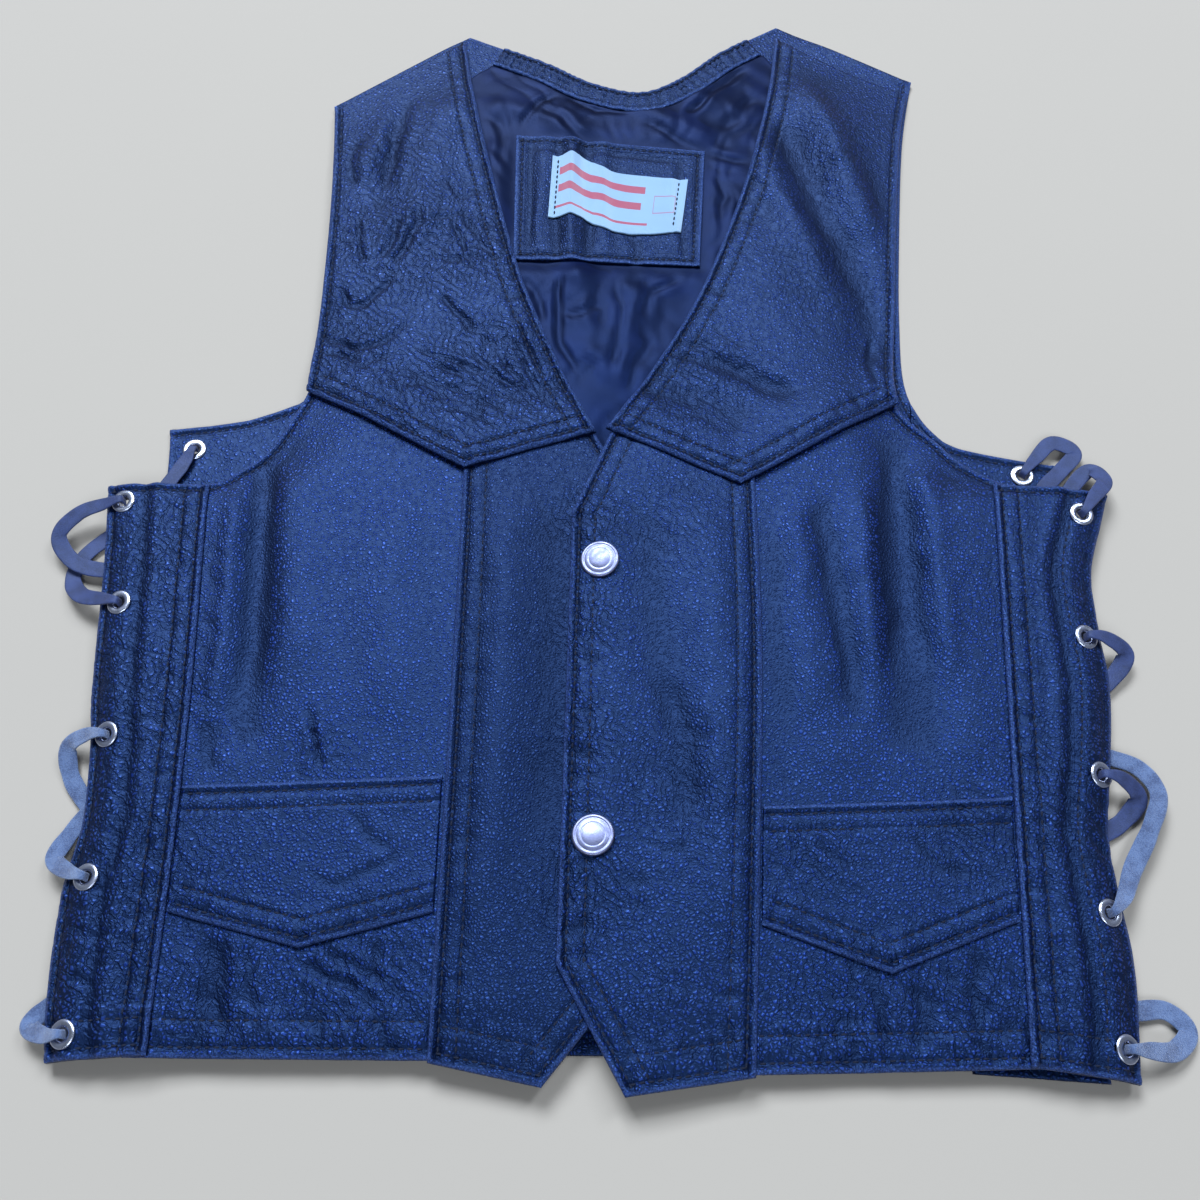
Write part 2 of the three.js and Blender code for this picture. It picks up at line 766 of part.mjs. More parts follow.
// Cuts a round hole through a wall at each place, square to its surface.
function pierced(geometry, places, height) {
  const radius = EYELET.barrel + GAP;
  let solid = solidOf(geometry);
  for (const place of places) {
    const drill = new THREE.CylinderGeometry(radius, radius, 24, EYELET.sides);
    seat(drill.rotateX(Math.PI / 2), height, place.x, place.y);
    solid = solid.subtract(solidOf(drill));
  }
  return geometryOf(solid);
}

// An eyelet that clamps a wall between the heights low and high over its own Z = 0.
function eyeletGeometry(low, high) {
  const { flange, barrel, bore, foot, cap, sides } = EYELET;
  const bottom = low - GAP;
  const top = high + GAP;
  const profile = [
    [bore, bottom - foot],
    [flange, bottom - foot],
    [flange, bottom],
    [barrel, bottom],
    [barrel, top],
    [flange, top],
    [flange - 1.2, top + cap],
    [bore, top + cap],
    [bore, bottom - foot],
  ].map(([r, z]) => new THREE.Vector2(r, z));
  return new THREE.LatheGeometry(profile, sides).rotateX(Math.PI / 2);
}

// Rivets an eyelet into a piece. It reaches from the lowest to the highest point under its flange.
const eyelets = {};
function rivet(name, piece, height, { x, y }) {
  const normal = facing(height, x, y);
  const origin = new THREE.Vector3(x, y, height(x, y));
  const span = { low: 0, high: 0 };
  for (const [face, pick] of [
    ["low", Math.min],
    ["high", Math.max],
  ]) {
    const under = [];
    probe(piece, piece[face], (key, z) => {
      const [px, py] = key.split(",").map((k) => k * PROBE);
      const offset = new THREE.Vector3(px, py, z).sub(origin);
      const along = offset.dot(normal);
      if (offset.lengthSq() - along * along < (EYELET.flange + 1) ** 2) under.push(along);
    });
    span[face] = pick(...under);
  }
  const geometry = eyeletGeometry(span.low, span.high);
  add(name, seat(geometry, height, x, y), "nickel");
  eyelets[name] = { origin, normal, top: span.high + GAP + EYELET.cap };
}

// Sets a piece of hardware on a surface, square to it.
function seat(geometry, height, x, y) {
  const turn = new THREE.Quaternion().setFromUnitVectors(new THREE.Vector3(0, 0, 1), facing(height, x, y));
  return geometry.applyQuaternion(turn).translate(x, y, height(x, y));
}

// Back

function backPiece() {
  const left = joined(
    [
      smooth(BACK_LEFT_SHOULDER),
      smooth(BACK_LEFT_SIDE),
      straight({ x: -BACK_SEAM_X, y: 107.5 }, BACK_HEM_LEFT),
    ],
    [2, 8],
    16,
  );
  const right = joined(
    [
      smooth(BACK_RIGHT_SHOULDER),
      smooth(BACK_RIGHT_SIDE),
      straight({ x: BACK_SEAM_X, y: 90.5 }, BACK_HEM_RIGHT),
    ],
    [2, 8],
    16,
  );
  const hem = straight(BACK_HEM_LEFT, BACK_HEM_RIGHT);
  const plan = outline(smooth(BACK_NECK), hem, left, right);
  const high = (x, y) => {
    const d = Math.min(distanceTo(BACK_LEFT_SHOULDER, x, y), distanceTo(BACK_RIGHT_SHOULDER, x, y));
    return LEATHER + (LAYER - GAP) * (1 - ease(d / 12)) * ease((400 - y) / 15);
  };
  add("back", wall(cut(plan, 12, 16, () => 0, high)), "leather");
}

// A doubled leather band on each side of the back. Outside the seam it carries the eyelets, whose
// flanges stand on the table; inside it lies on the back.
function backBand(side, edges) {
  const sign = side === "left" ? -1 : 1;
  const foot = { x: sign * BACK_BAND.inner, y: edges.outer.at(-1).y + 4 };
  const inner = straight(edges.top[0], foot);
  const top = smooth(edges.top);
  const hem = straight(foot, edges.outer.at(-1));
  const outer = smooth(edges.outer);
  const plan =
    sign < 0
      ? outline(
          (u) => top(1 - u),
          (u) => hem(1 - u),
          outer,
          inner,
        )
      : outline(top, hem, inner, outer);
  const low = (x) => {
    const out = (Math.abs(x) - BACK_SEAM_X - 2) / BACK_BAND.ease;
    return THREE.MathUtils.lerp(LAYER, BACK_BAND.base, ease(out));
  };
  const high = () => LAYER + BACK_BAND.thickness;
  const piece = cut(plan, 10, 8, low, high);
  const flat = () => BACK_BAND.base;
  add(`back_band_${side}`, pierced(wall(piece), BACK_EYELETS[side], flat), "leather");
  BACK_EYELETS[side].forEach((place, i) => rivet(`back_eyelet_${side}_${i + 1}`, piece, flat, place));
}

// Inside the neck

function neckPieces() {
  const neck = smooth(BACK_NECK);
  const inward = (t, distance) => {
    const step = 0.01;
    const along = neck(clamp01(t + step))
      .sub(neck(clamp01(t - step)))
      .normalize();
    return neck(t).add(new THREE.Vector2(along.y, -along.x).multiplyScalar(distance));
  };
  const { width, from, to } = NECK_FACING;
  const span = (u) => from + (to - from) * u;
  const facingPlan = (u, v) => inward(span(u), GAP + v * width);
  add("neck_facing", wall(cut(facingPlan, 16, 1, () => LAYER, () => LAYER + LEATHER)), "leather");

  const { left, right, hem, facing: below, shoulder } = LINING_CUT;
  const topLeft = { x: left, y: shoulder };
  const topRight = { x: right, y: shoulder };
  const liningTop = joined(
    [straight(topLeft, inward(from, below)), (t) => inward(span(t), below), straight(inward(to, below), topRight)],
    [3, 15],
    18,
  );
  const plan = outline(
    liningTop,
    straight({ x: left, y: hem }, { x: right, y: hem }),
    straight(topLeft, { x: left, y: hem }),
    straight(topRight, { x: right, y: hem }),
  );
  const lining = cut(plan, 18, 18, liningLay, (x, y) => liningLay(x, y) + LINING);
  add("back_lining", wall(lining), "lining");

  const patchLow = (x, y) => liningLay(x, y) + LINING + GAP;
  const patchHigh = (x, y) => patchLow(x, y) + LEATHER;
  const patch = layOn(cut(quad(PATCH), 9, 6, patchLow, patchHigh), lining);
  add("neck_patch", wall(patch), "leather");

  const labelLow = (x, y) => patchHigh(x, y) + GAP;
  const label = cut(quad(LABEL_CORNERS), 9, 4, labelLow, (x, y) => labelLow(x, y) + LABEL);
  add("neck_label", wall(layOn(label, patch)), "label");
}

// Fronts

function sideFront(side, underarm, seam, hem) {
  const inward = side === "left" ? TUCK : -TUCK;
  const tuck = seam.map((p) => ({ x: p.x + inward, y: p.y + 1 }));
  const outer = joined([smooth(underarm), straight(underarm.at(-1), hem[0])], [5], 14);
  const low = smooth([...hem, tuck.at(-1)]);
  const plan =
    side === "left"
      ? outline(straight(underarm[0], tuck[0]), low, outer, smooth(tuck))
      : outline(
          straight(tuck[0], underarm[0]),
          (u) => low(1 - u),
          smooth(tuck),
          outer,
        );
  return frontCut(plan, 10, 14, () => 0, LEATHER);
}

function centreFronts(sideLeft, sideRight) {
  const leftPlan = outline(
    straight(LEFT_CENTRE_SEAM[0], LEFT_CENTRE_TOP),
    joined(
      [straight(LEFT_CENTRE_SEAM[2], LEFT_FRONT_TIP), straight(LEFT_FRONT_TIP, LEFT_FRONT_CORNER)],
      [4],
      9,
    ),
    smooth(LEFT_CENTRE_SEAM),
    joined(
      [straight(LEFT_CENTRE_TOP, LEFT_FRONT_BREAK), straight(LEFT_FRONT_BREAK, LEFT_FRONT_CORNER)],
      [3],
      14,
    ),
  );
  const left = layOn(frontCut(leftPlan, 9, 14, () => LAYER, LEATHER), sideLeft);

  const rightPlan = outline(
    straight(RIGHT_CENTRE_TOP, RIGHT_CENTRE_SEAM[0]),
    joined(
      [straight(RIGHT_FRONT_CORNER, RIGHT_FRONT_TIP), straight(RIGHT_FRONT_TIP, RIGHT_CENTRE_SEAM[3])],
      [4],
      9,
    ),
    joined(
      [straight(RIGHT_CENTRE_TOP, RIGHT_FRONT_BREAK), straight(RIGHT_FRONT_BREAK, RIGHT_FRONT_CORNER)],
      [3],
      14,
    ),
    smooth(RIGHT_CENTRE_SEAM),
  );
  const right = frontCut(rightPlan, 9, 14, (x) => LAYER + overlapLift(x), LEATHER);
  return [left, layOn(right, sideRight, left)];
}

function yokes(sideLeft, sideRight, centreLeft, centreRight) {
  const leftLower = [LEFT_ARMHOLE[4], LEFT_YOKE_POINT, LEFT_NECK[5]];
  const leftPlan = outline(
    smooth(LEFT_SHOULDER.slice().reverse()),
    joined([straight(leftLower[0], leftLower[1]), straight(leftLower[1], leftLower[2])], [6], 11),
    smooth(LEFT_ARMHOLE),
    smooth(LEFT_NECK),
  );
  const leftLift = (x, y) => yokeLift(leftLower, x, y, 0);
  const left = layOn(frontCut(leftPlan, 11, 16, leftLift, LEATHER), sideLeft, centreLeft);

  const rightLower = [RIGHT_NECK[5], RIGHT_YOKE_POINT, RIGHT_ARMHOLE[5]];
  const rightPlan = outline(
    smooth(RIGHT_SHOULDER),
    joined([straight(rightLower[0], rightLower[1]), straight(rightLower[1], rightLower[2])], [5], 11),
    smooth(RIGHT_NECK),
    smooth(RIGHT_ARMHOLE),
  );
  const rightLift = (x, y) => yokeLift(rightLower, x, y, overlapLift(x));
  const right = frontCut(rightPlan, 11, 16, rightLift, LEATHER);
  return [left, layOn(right, sideRight, centreRight, left)];
}

function pocketFlap([topLeft, topRight, lowLeft, tip, lowRight], sideFrontPiece) {
  const plan = outline(
    straight(topLeft, topRight),
    joined([straight(lowLeft, tip), straight(tip, lowRight)], [4], 8),
    straight(topLeft, lowLeft),
    straight(topRight, lowRight),
  );
  return layOn(frontCut(plan, 8, 4, () => LAYER, FLAP_LEATHER), sideFrontPiece);
}

// The doubled band of each front that carries its eyelets.
function frontBand(side, outer, seam, sideFrontPiece) {
  const lift = (x, y) => {
    const inside = Math.abs(edgeAt(seam, y) - x);
    return THREE.MathUtils.lerp(LAYER, GAP, ease((inside - BAND_HOLD) / BAND_EASE));
  };
  const low = (x, y) => frontLay(x, y) + lift(x, y);
  const high = (x, y) => frontLay(x, y) + LAYER + LEATHER;
  const [topOuter, topInner] = [outer[0], seam[0]];
  const [hemOuter, hemInner] = [outer.at(-1), seam.at(-1)];
  const plan =
    side === "left"
      ? outline(straight(topOuter, topInner), straight(hemOuter, hemInner), smooth(outer), smooth(seam))
      : outline(straight(topInner, topOuter), straight(hemInner, hemOuter), smooth(seam), smooth(outer));
  const band = layOn(cut(plan, 9, 18, low, high), sideFrontPiece);
  add(`front_band_${side}`, pierced(wall(band), FRONT_EYELETS[side], low), "leather");
  FRONT_EYELETS[side].forEach((place, i) => rivet(`front_eyelet_${side}_${i + 1}`, band, low, place));
}

// Snap caps: a shallow dome with a rolled rim.
function snapCaps() {
  const { radius, height, rim, sides } = SNAP;
  const profile = [
    [0, 0],
    [radius - 0.6, 0],
    [radius, rim * 0.6],
    [radius - 0.3, rim + 0.6],
    [radius - 1.4, height - 0.5],
    [radius * 0.5, height - 0.1],
    [0, height],
  ].map(([r, z]) => new THREE.Vector2(r, z));
  const surface = (x, y) => frontLay(x, y) + LAYER + overlapLift(x) + LEATHER + 2 * GAP;
  SNAPS.forEach((place, i) => {
    const cap = new THREE.LatheGeometry(profile, sides).rotateX(Math.PI / 2);
    add(`snap_cap_${i + 1}`, seat(cap, surface, place.x, place.y), "nickel");
  });
}

// The two rows of a lace's middle line where it passes through an eyelet.
function through(name) {
  const { origin, normal, top } = eyelets[name];
  return [1.2, top + LACE.above].map((rise) => origin.clone().addScaledVector(normal, rise));
}

// A flat strap through its rows. It narrows to pass through the eyelet at either end.
function strap({ from, to, rows }) {
  const places = rows.map((r) => new THREE.Vector3(r.x, r.y, r.z));
  if (from) places.unshift(...through(from));
  if (to) places.push(...through(to).reverse());
  const line = new THREE.CatmullRomCurve3(places, false, "centripetal");
  const spans = places.length - 1;
  const count = spans * LACE.steps;
  const tangents = Array.from({ length: count + 1 }, (_, k) => line.getTangent(k / count));
  const level = tangents.map((t) => (Math.hypot(t.x, t.y) > 0.4 ? new THREE.Vector3(-t.y, t.x, 0) : null));
  const nearest = (k) => {
    for (let d = 0; d <= count; d++) {
      const found = level[k - d] ?? level[k + d];
      if (found) return found.clone();
    }
  };
  const positions = [];
  for (let k = 0; k <= count; k++) {
    const along = tangents[k];
    const wide = nearest(k);
    wide.addScaledVector(along, -wide.dot(along)).normalize();
    const thick = new THREE.Vector3().crossVectors(along, wide).normalize();
    const at = k / LACE.steps;
    const fromStart = from ? at : Infinity;
    const fromEnd = to ? spans - at : Infinity;
    const share = ease((Math.min(fromStart, fromEnd, 3) - 1) / 1.5);
    const width = THREE.MathUtils.lerp(LACE.neckWidth, LACE.width, share);
    const middle = line.getPoint(k / count);
    for (const [a, b] of [
      [-1, -1],
      [1, -1],
      [1, 1],
      [-1, 1],
    ]) {
      const corner = middle.clone();
      corner.addScaledVector(wide, (a * width) / 2);
      corner.addScaledVector(thick, (b * LACE.thickness) / 2);
      positions.push(corner.x, corner.y, corner.z);
    }
  }
  const index = [];
  for (let k = 0; k < count; k++) {
    for (let c = 0; c < 4; c++) {
      const a = k * 4 + c;
      const b = k * 4 + ((c + 1) % 4);
      index.push(a, b, b + 4, a, b + 4, a + 4);
    }
  }
  index.push(0, 2, 1, 0, 3, 2);
  const last = count * 4;
  index.push(last, last + 1, last + 2, last, last + 2, last + 3);
  const geometry = new THREE.BufferGeometry();
  geometry.setAttribute("position", new THREE.Float32BufferAttribute(positions, 3));
  geometry.setIndex(index);
  return geometry;
}

backPiece();
backBand("left", BACK_BAND_LEFT);
backBand("right", BACK_BAND_RIGHT);
neckPieces();
const sideLeft = sideFront("left", LEFT_UNDERARM, LEFT_CENTRE_SEAM, LEFT_SIDE_HEM);
const sideRight = sideFront("right", RIGHT_UNDERARM, RIGHT_CENTRE_SEAM, RIGHT_SIDE_HEM);
const [centreLeft, centreRight] = centreFronts(sideLeft, sideRight);
const [yokeLeft, yokeRight] = yokes(sideLeft, sideRight, centreLeft, centreRight);
add("front_side_left", wall(sideLeft), "leather");
add("front_side_right", wall(sideRight), "leather");
add("front_centre_left", wall(centreLeft), "leather");
add("front_centre_right", wall(centreRight), "leather");
add("pocket_flap_left", wall(pocketFlap(LEFT_FLAP, sideLeft)), "leather");
add("pocket_flap_right", wall(pocketFlap(RIGHT_FLAP, sideRight)), "leather");
add("yoke_left", wall(yokeLeft), "leather");
add("yoke_right", wall(yokeRight), "leather");
frontBand("left", LEFT_BAND_OUTER, LEFT_BAND_SEAM, sideLeft);
frontBand("right", RIGHT_BAND_OUTER, RIGHT_BAND_SEAM, sideRight);
snapCaps();
for (const [name, lace] of Object.entries(LACES)) add(name, strap(lace), "lace");

export default vest;
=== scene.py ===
import logging
import math
from dataclasses import dataclass, replace
from enum import Enum
from typing import Callable, Iterable, Sequence

import bpy
import numpy as np
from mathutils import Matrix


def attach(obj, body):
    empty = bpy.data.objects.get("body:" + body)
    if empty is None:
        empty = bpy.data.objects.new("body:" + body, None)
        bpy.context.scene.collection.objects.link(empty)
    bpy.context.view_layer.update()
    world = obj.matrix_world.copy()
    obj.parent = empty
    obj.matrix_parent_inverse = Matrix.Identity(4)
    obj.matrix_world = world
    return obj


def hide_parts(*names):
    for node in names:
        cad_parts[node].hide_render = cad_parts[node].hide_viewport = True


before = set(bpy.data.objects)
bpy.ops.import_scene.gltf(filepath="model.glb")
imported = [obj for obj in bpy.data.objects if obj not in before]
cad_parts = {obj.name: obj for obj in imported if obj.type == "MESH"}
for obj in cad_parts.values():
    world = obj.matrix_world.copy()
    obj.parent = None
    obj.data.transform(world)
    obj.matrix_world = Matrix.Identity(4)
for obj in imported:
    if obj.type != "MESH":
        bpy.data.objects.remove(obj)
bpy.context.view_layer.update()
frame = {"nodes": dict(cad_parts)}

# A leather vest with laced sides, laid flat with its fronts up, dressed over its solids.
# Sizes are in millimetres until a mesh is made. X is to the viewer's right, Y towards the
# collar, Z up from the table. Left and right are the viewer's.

log = logging.getLogger("vest")

Grid = np.ndarray
Object = bpy.types.Object
Socket = bpy.types.NodeSocket
Spot = tuple[float, float]
Place = tuple[float, float, float]
Colour = tuple[float, float, float]
Box = tuple[float, float, float, float]
Rows = Sequence[Spot]
Height = Callable[[Grid, Grid], Grid]

MM = 0.001
ROOT = "root"

# Thicknesses, and the gap that pieces keep
LEATHER = 1.4
LINING = 1.0
LABEL = 1.0
GAP = 0.3
LAYER = LEATHER + GAP

# How high the fronts stand over the table
FRONT_LAY = 9.4
BAND_RISE = 1.6
BAND_RISE_FROM = 150.0
BAND_RISE_OVER = 45.0
HEM_Y = -225.0
HEM_DROP = 1.0
HEM_REACH = 30.0
NECK_DROP = 1.7
NECK_REACH = 40.0
ARM_DROP = 4.0
ARM_REACH = 40.0
SHOULDER_LAY = 3.4
SHOULDER_REACH = 55.0
ROLL_WIDTH = 18.0

# Seams
YOKE_HOLD = 16.0
YOKE_EASE = 25.0
OVERLAP_FROM = 24.0
OVERLAP_EASE = 30.0
STITCH_PITCH = 3.9
STITCH_ROWS = (4.2, 12.0)
HEM_ROWS = (4.5, 15.5)

# Cloth grids, and how many times one is softened to find its hollows
SOFTENING = ((20, 1.0), (130, 0.45))
FAR = 30.0
CLOSE_LINES = (0.3, 0.8, 1.6, 2.5, 3.4, 4.2, 5.0, 6.0, 11.0, 12.0, 13.0)
RELIEF = 1.25
LEAST_WALL = 0.35


class Side(Enum):
    """The viewer's left or right."""

    LEFT = "left"
    RIGHT = "right"


@dataclass(frozen=True)
class FrontEdges:
    """The flat edges of one front, each row a place on its edge: x, y.

    The shoulder runs left to right. A flap's rows are its upper left, upper right, lower left,
    point and lower right. A roll is how far the band's outer edge rolls down, at top and hem.
    """

    neck: Rows
    shoulder: Rows
    armhole: Rows
    underarm: Rows
    band_outer: Rows
    band_seam: Rows
    side_hem: Rows
    yoke_point: Spot
    centre_seam: Rows
    centre_top: Spot
    front_tip: Spot
    front_corner: Spot
    front_break: Spot
    flap: Rows
    roll: Spot
    eyelets: Rows


LEFT = FrontEdges(
    neck=((-84.6, 390.7), (-78.5, 349.9), (-65.0, 284.4), (-45.0, 201.7), (-22.5, 139.7), (-2.0, 92.5)),
    shoulder=((-161.9, 329.8), (-84.6, 390.7)),
    armhole=((-161.9, 329.8), (-157.5, 268.8), (-155.8, 194.6), (-156.7, 135.1), (-157.4, 120.7)),
    underarm=(
        (-157, 134), (-157.4, 120.7), (-167.2, 97.7), (-177.5, 81.5), (-186.8, 72.3), (-196.6, 64.4),
        (-209, 60.5),
    ),
    band_outer=(
        (-253.3, 60.2), (-248.1, 13.8), (-243.9, -47.8), (-238.6, -86.5), (-236.6, -119), (-240.3, -148.2),
        (-238.2, -197.6), (-234.6, -221.1),
    ),
    band_seam=((-200.7, 60.8), (-192.8, -78.1), (-190.0, -218.7)),
    side_hem=((-201.0, -219.3),),
    yoke_point=(-69.9, 69.3),
    centre_seam=((-70.5, 84.0), (-71.1, -78.1), (-72.6, -221.5)),
    centre_top=(-8.6, 104.0),
    front_tip=(-24.6, -231.3),
    front_corner=(18.0, -180.0),
    front_break=(21.0, 47.0),
    flap=((-191.4, -101.0), (-72.7, -95.8), (-190.3, -158.7), (-131.2, -174.3), (-73.2, -158.7)),
    roll=(3.4, 6.2),
    eyelets=((-242.2, 49.8), (-235.0, -7.6), (-229.5, -75.8), (-227.7, -143.4), (-225.8, -210.0)),
)
RIGHT = FrontEdges(
    neck=((110.5, 393.4), (102.5, 341.5), (84.9, 268.8), (55.8, 187.5), (21.5, 123.3), (3.2, 93.7)),
    shoulder=((110.5, 393.4), (154.1, 362.2), (188.8, 344.0)),
    armhole=(
        (188.8, 344), (179.5, 300.3), (169.4, 223.5), (162.4, 159.8), (158.2, 128.5), (158.7, 112.3),
    ),
    underarm=(
        (158.4, 126), (158.7, 112.3), (165.1, 102.1), (177.4, 89.6), (187.4, 77.2), (201.7, 66.9), (211, 61),
    ),
    band_outer=(
        (260.6, 54.9), (253.9, 36.1), (247.3, 18.3), (244.4, 3.7), (244.1, -21.4), (244.4, -50.9),
        (238.5, -88), (231.5, -122), (231.4, -148), (232.6, -183), (227.1, -229.8),
    ),
    band_seam=((202.0, 61.2), (188.8, -107.2), (180.1, -223.5)),
    side_hem=((190.0, -223.8), (125.5, -225.0)),
    yoke_point=(72.1, 59.6),
    centre_seam=((79.8, 77.0), (78.6, -26.8), (71.8, -135.1), (65.1, -227.4)),
    centre_top=(11.3, 106.5),
    front_break=(-14.3, 43.0),
    front_corner=(-19.1, -181.7),
    front_tip=(10.4, -235.2),
    flap=((74.3, -110.5), (187.9, -106.7), (70.9, -164.4), (125.8, -185.3), (183.7, -163.1)),
    roll=(4.4, 6.4),
    eyelets=((243.5, 42.2), (234.6, -25.9), (230.4, -94.9), (223.4, -158.9), (220.4, -216.0)),
)
FRONTS = {Side.LEFT: LEFT, Side.RIGHT: RIGHT}


@dataclass(frozen=True)
class BackEdges:
    """The flat edges of one side of the back, from the neck down."""

    shoulder: Rows
    side: Rows
    hem: Spot
    band_top: Rows
    band_outer: Rows
    eyelets: Rows


BACKS = {
    Side.LEFT: BackEdges(
        shoulder=((-82.5, 397.5), (-163.0, 336.0)),
        side=((-163, 336), (-156, 270), (-154.5, 200), (-156, 135), (-163, 117.2), (-186, 107.5)),
        hem=(-184.0, -216.0),
        band_top=((-158.5, 119.0), (-163.0, 116.4), (-190.3, 105.6), (-229.6, 99.9)),
        band_outer=((-229.6, 99.9), (-226.7, 65.7), (-222.5, -60.0), (-220.0, -219.0)),
        eyelets=((-214.5, 87.3), (-212.5, 19.0), (-211.0, -49.0), (-210.0, -117.0), (-209.0, -185.0)),
    ),
    Side.RIGHT: BackEdges(
        shoulder=((112.2, 406.5), (157.1, 378.8), (193.0, 356.2)),
        side=(
            (193, 356.2), (182.5, 305), (173.2, 230), (167.5, 173), (165.8, 129), (174.4, 103),
            (186, 90.5),
        ),
        hem=(184.0, -219.0),
        band_top=((167.0, 118.0), (174.4, 102.2), (186.0, 90.0), (205.0, 84.0), (239.4, 77.0)),
        band_outer=((239.4, 77.0), (231.0, -20.0), (224.0, -120.0), (216.2, -229.0)),
        eyelets=((221.0, 71.0), (219.5, 5.0), (214.5, -62.0), (210.0, -129.0), (205.5, -196.0)),
    ),
}

# Soft folds of the fronts: from x0, y0 to x1, y1, half width, and how far it lifts
FRONT_FOLDS = (
    (-172, 85, -168, -70, 13, -1.5), (-128, 70, -138, -60, 26, 1.5), (-42, 40, -48, -190, 18, 1.5),
    (-178, -165, -172, -215, 12, -1.3), (-112, 345, -126, 255, 13, -2.2), (-92, 325, -104, 235, 14, 1.8),
    (-142, 290, -144, 200, 14, 1.4), (-120, 190, -70, 150, 15, -1.4), (-62, 220, -40, 150, 15, 1.4),
    (116, 300, 150, 150, 15, -2.4), (128, 340, 146, 240, 14, 1.8), (88, 215, 112, 110, 20, 1.6),
    (152, 85, 147, -70, 16, -1.8), (112, 50, 108, -80, 18, 1.3), (181, 40, 173, -80, 14, 1.1),
    (52, 40, 46, -190, 20, 1.3), (112, -190, 108, -224, 12, -1),
)

# Folds of the lining inside the neck, in the same columns
LINING_FOLDS = (
    (-60, 335, -30, 325, 8, 1.6), (20, 338, 62, 312, 7, 1.8), (50, 350, 84, 330, 8, 1.5),
    (-64, 300, -58, 240, 8, 1.4), (-12, 204, -6, 150, 8, 1.8), (16, 190, 8, 140, 9, 1.5),
    (-22, 330, -16, 205, 10, 1.8),
)

# Where the hide is finely crumpled: x, y, reach, depth
CREASED = (
    (-125, 285, 45, 0.45), (-105, 225, 42, 0.95), (-75, 215, 35, 0.75), (-140, 160, 35, 0.75),
    (-60, 130, 45, 0.8), (-100, 120, 40, 0.5), (140, 290, 50, 0.4), (120, 200, 45, 0.45),
    (50, 130, 40, 0.6), (-6, 40, 26, 0.7), (-8, -20, 24, 0.65), (-8, -80, 24, 0.65), (-8, -150, 30, 0.7),
    (35, -100, 40, 0.45), (40, 40, 45, 0.35), (30, -200, 40, 0.35), (-165, -195, 35, 0.7),
    (-105, -190, 38, 0.7), (-128, -85, 16, 0.4), (105, -200, 40, 0.65), (160, -195, 40, 0.6),
    (95, -135, 30, 0.45), (170, -125, 35, 0.5), (-225, 20, 40, 0.5), (-225, -60, 50, 0.55),
    (-222, -150, 60, 0.65), (220, 0, 60, 0.35), (220, -110, 60, 0.5), (210, -200, 40, 0.4),
)


@dataclass(frozen=True)
class Crease:
    """A listed crease: a trough along a line, with a low shoulder on either side."""

    line: Rows
    width: float
    depth: float

    def at(self, x: Grid, y: Grid) -> Grid:
        """The crease's relief.

        It is -depth * exp(-(d / width) squared), plus 0.35 depth * exp(-((d - 2 width) / width)
        squared), with both fading over the crease's ends. A depth below zero makes a ridge with
        no shoulders.

        Args:
            x: Places' x.
            y: Places' y.

        Returns:
            Heights, below zero in the trough.
        """
        distance, run = nearest_on(self.line, x, y)
        length = np.hypot(*np.diff(np.asarray(self.line, float), axis=0).T).sum()
        share = np.clip(run / length, 0, 1)
        fade = ease(share * 5) * ease((1 - share) * 4)
        trough = np.exp(-((distance / self.width) ** 2))
        shoulder = 0.35 * np.exp(-(((distance - 2 * self.width) / self.width) ** 2)) * (self.depth > 0)
        return self.depth * fade * (shoulder - trough)


def creases_of(*rows: tuple[Rows, float, float]) -> tuple[Crease, ...]:
    """Creases from rows of a line, a width and a depth."""
    return tuple(Crease(*row) for row in rows)


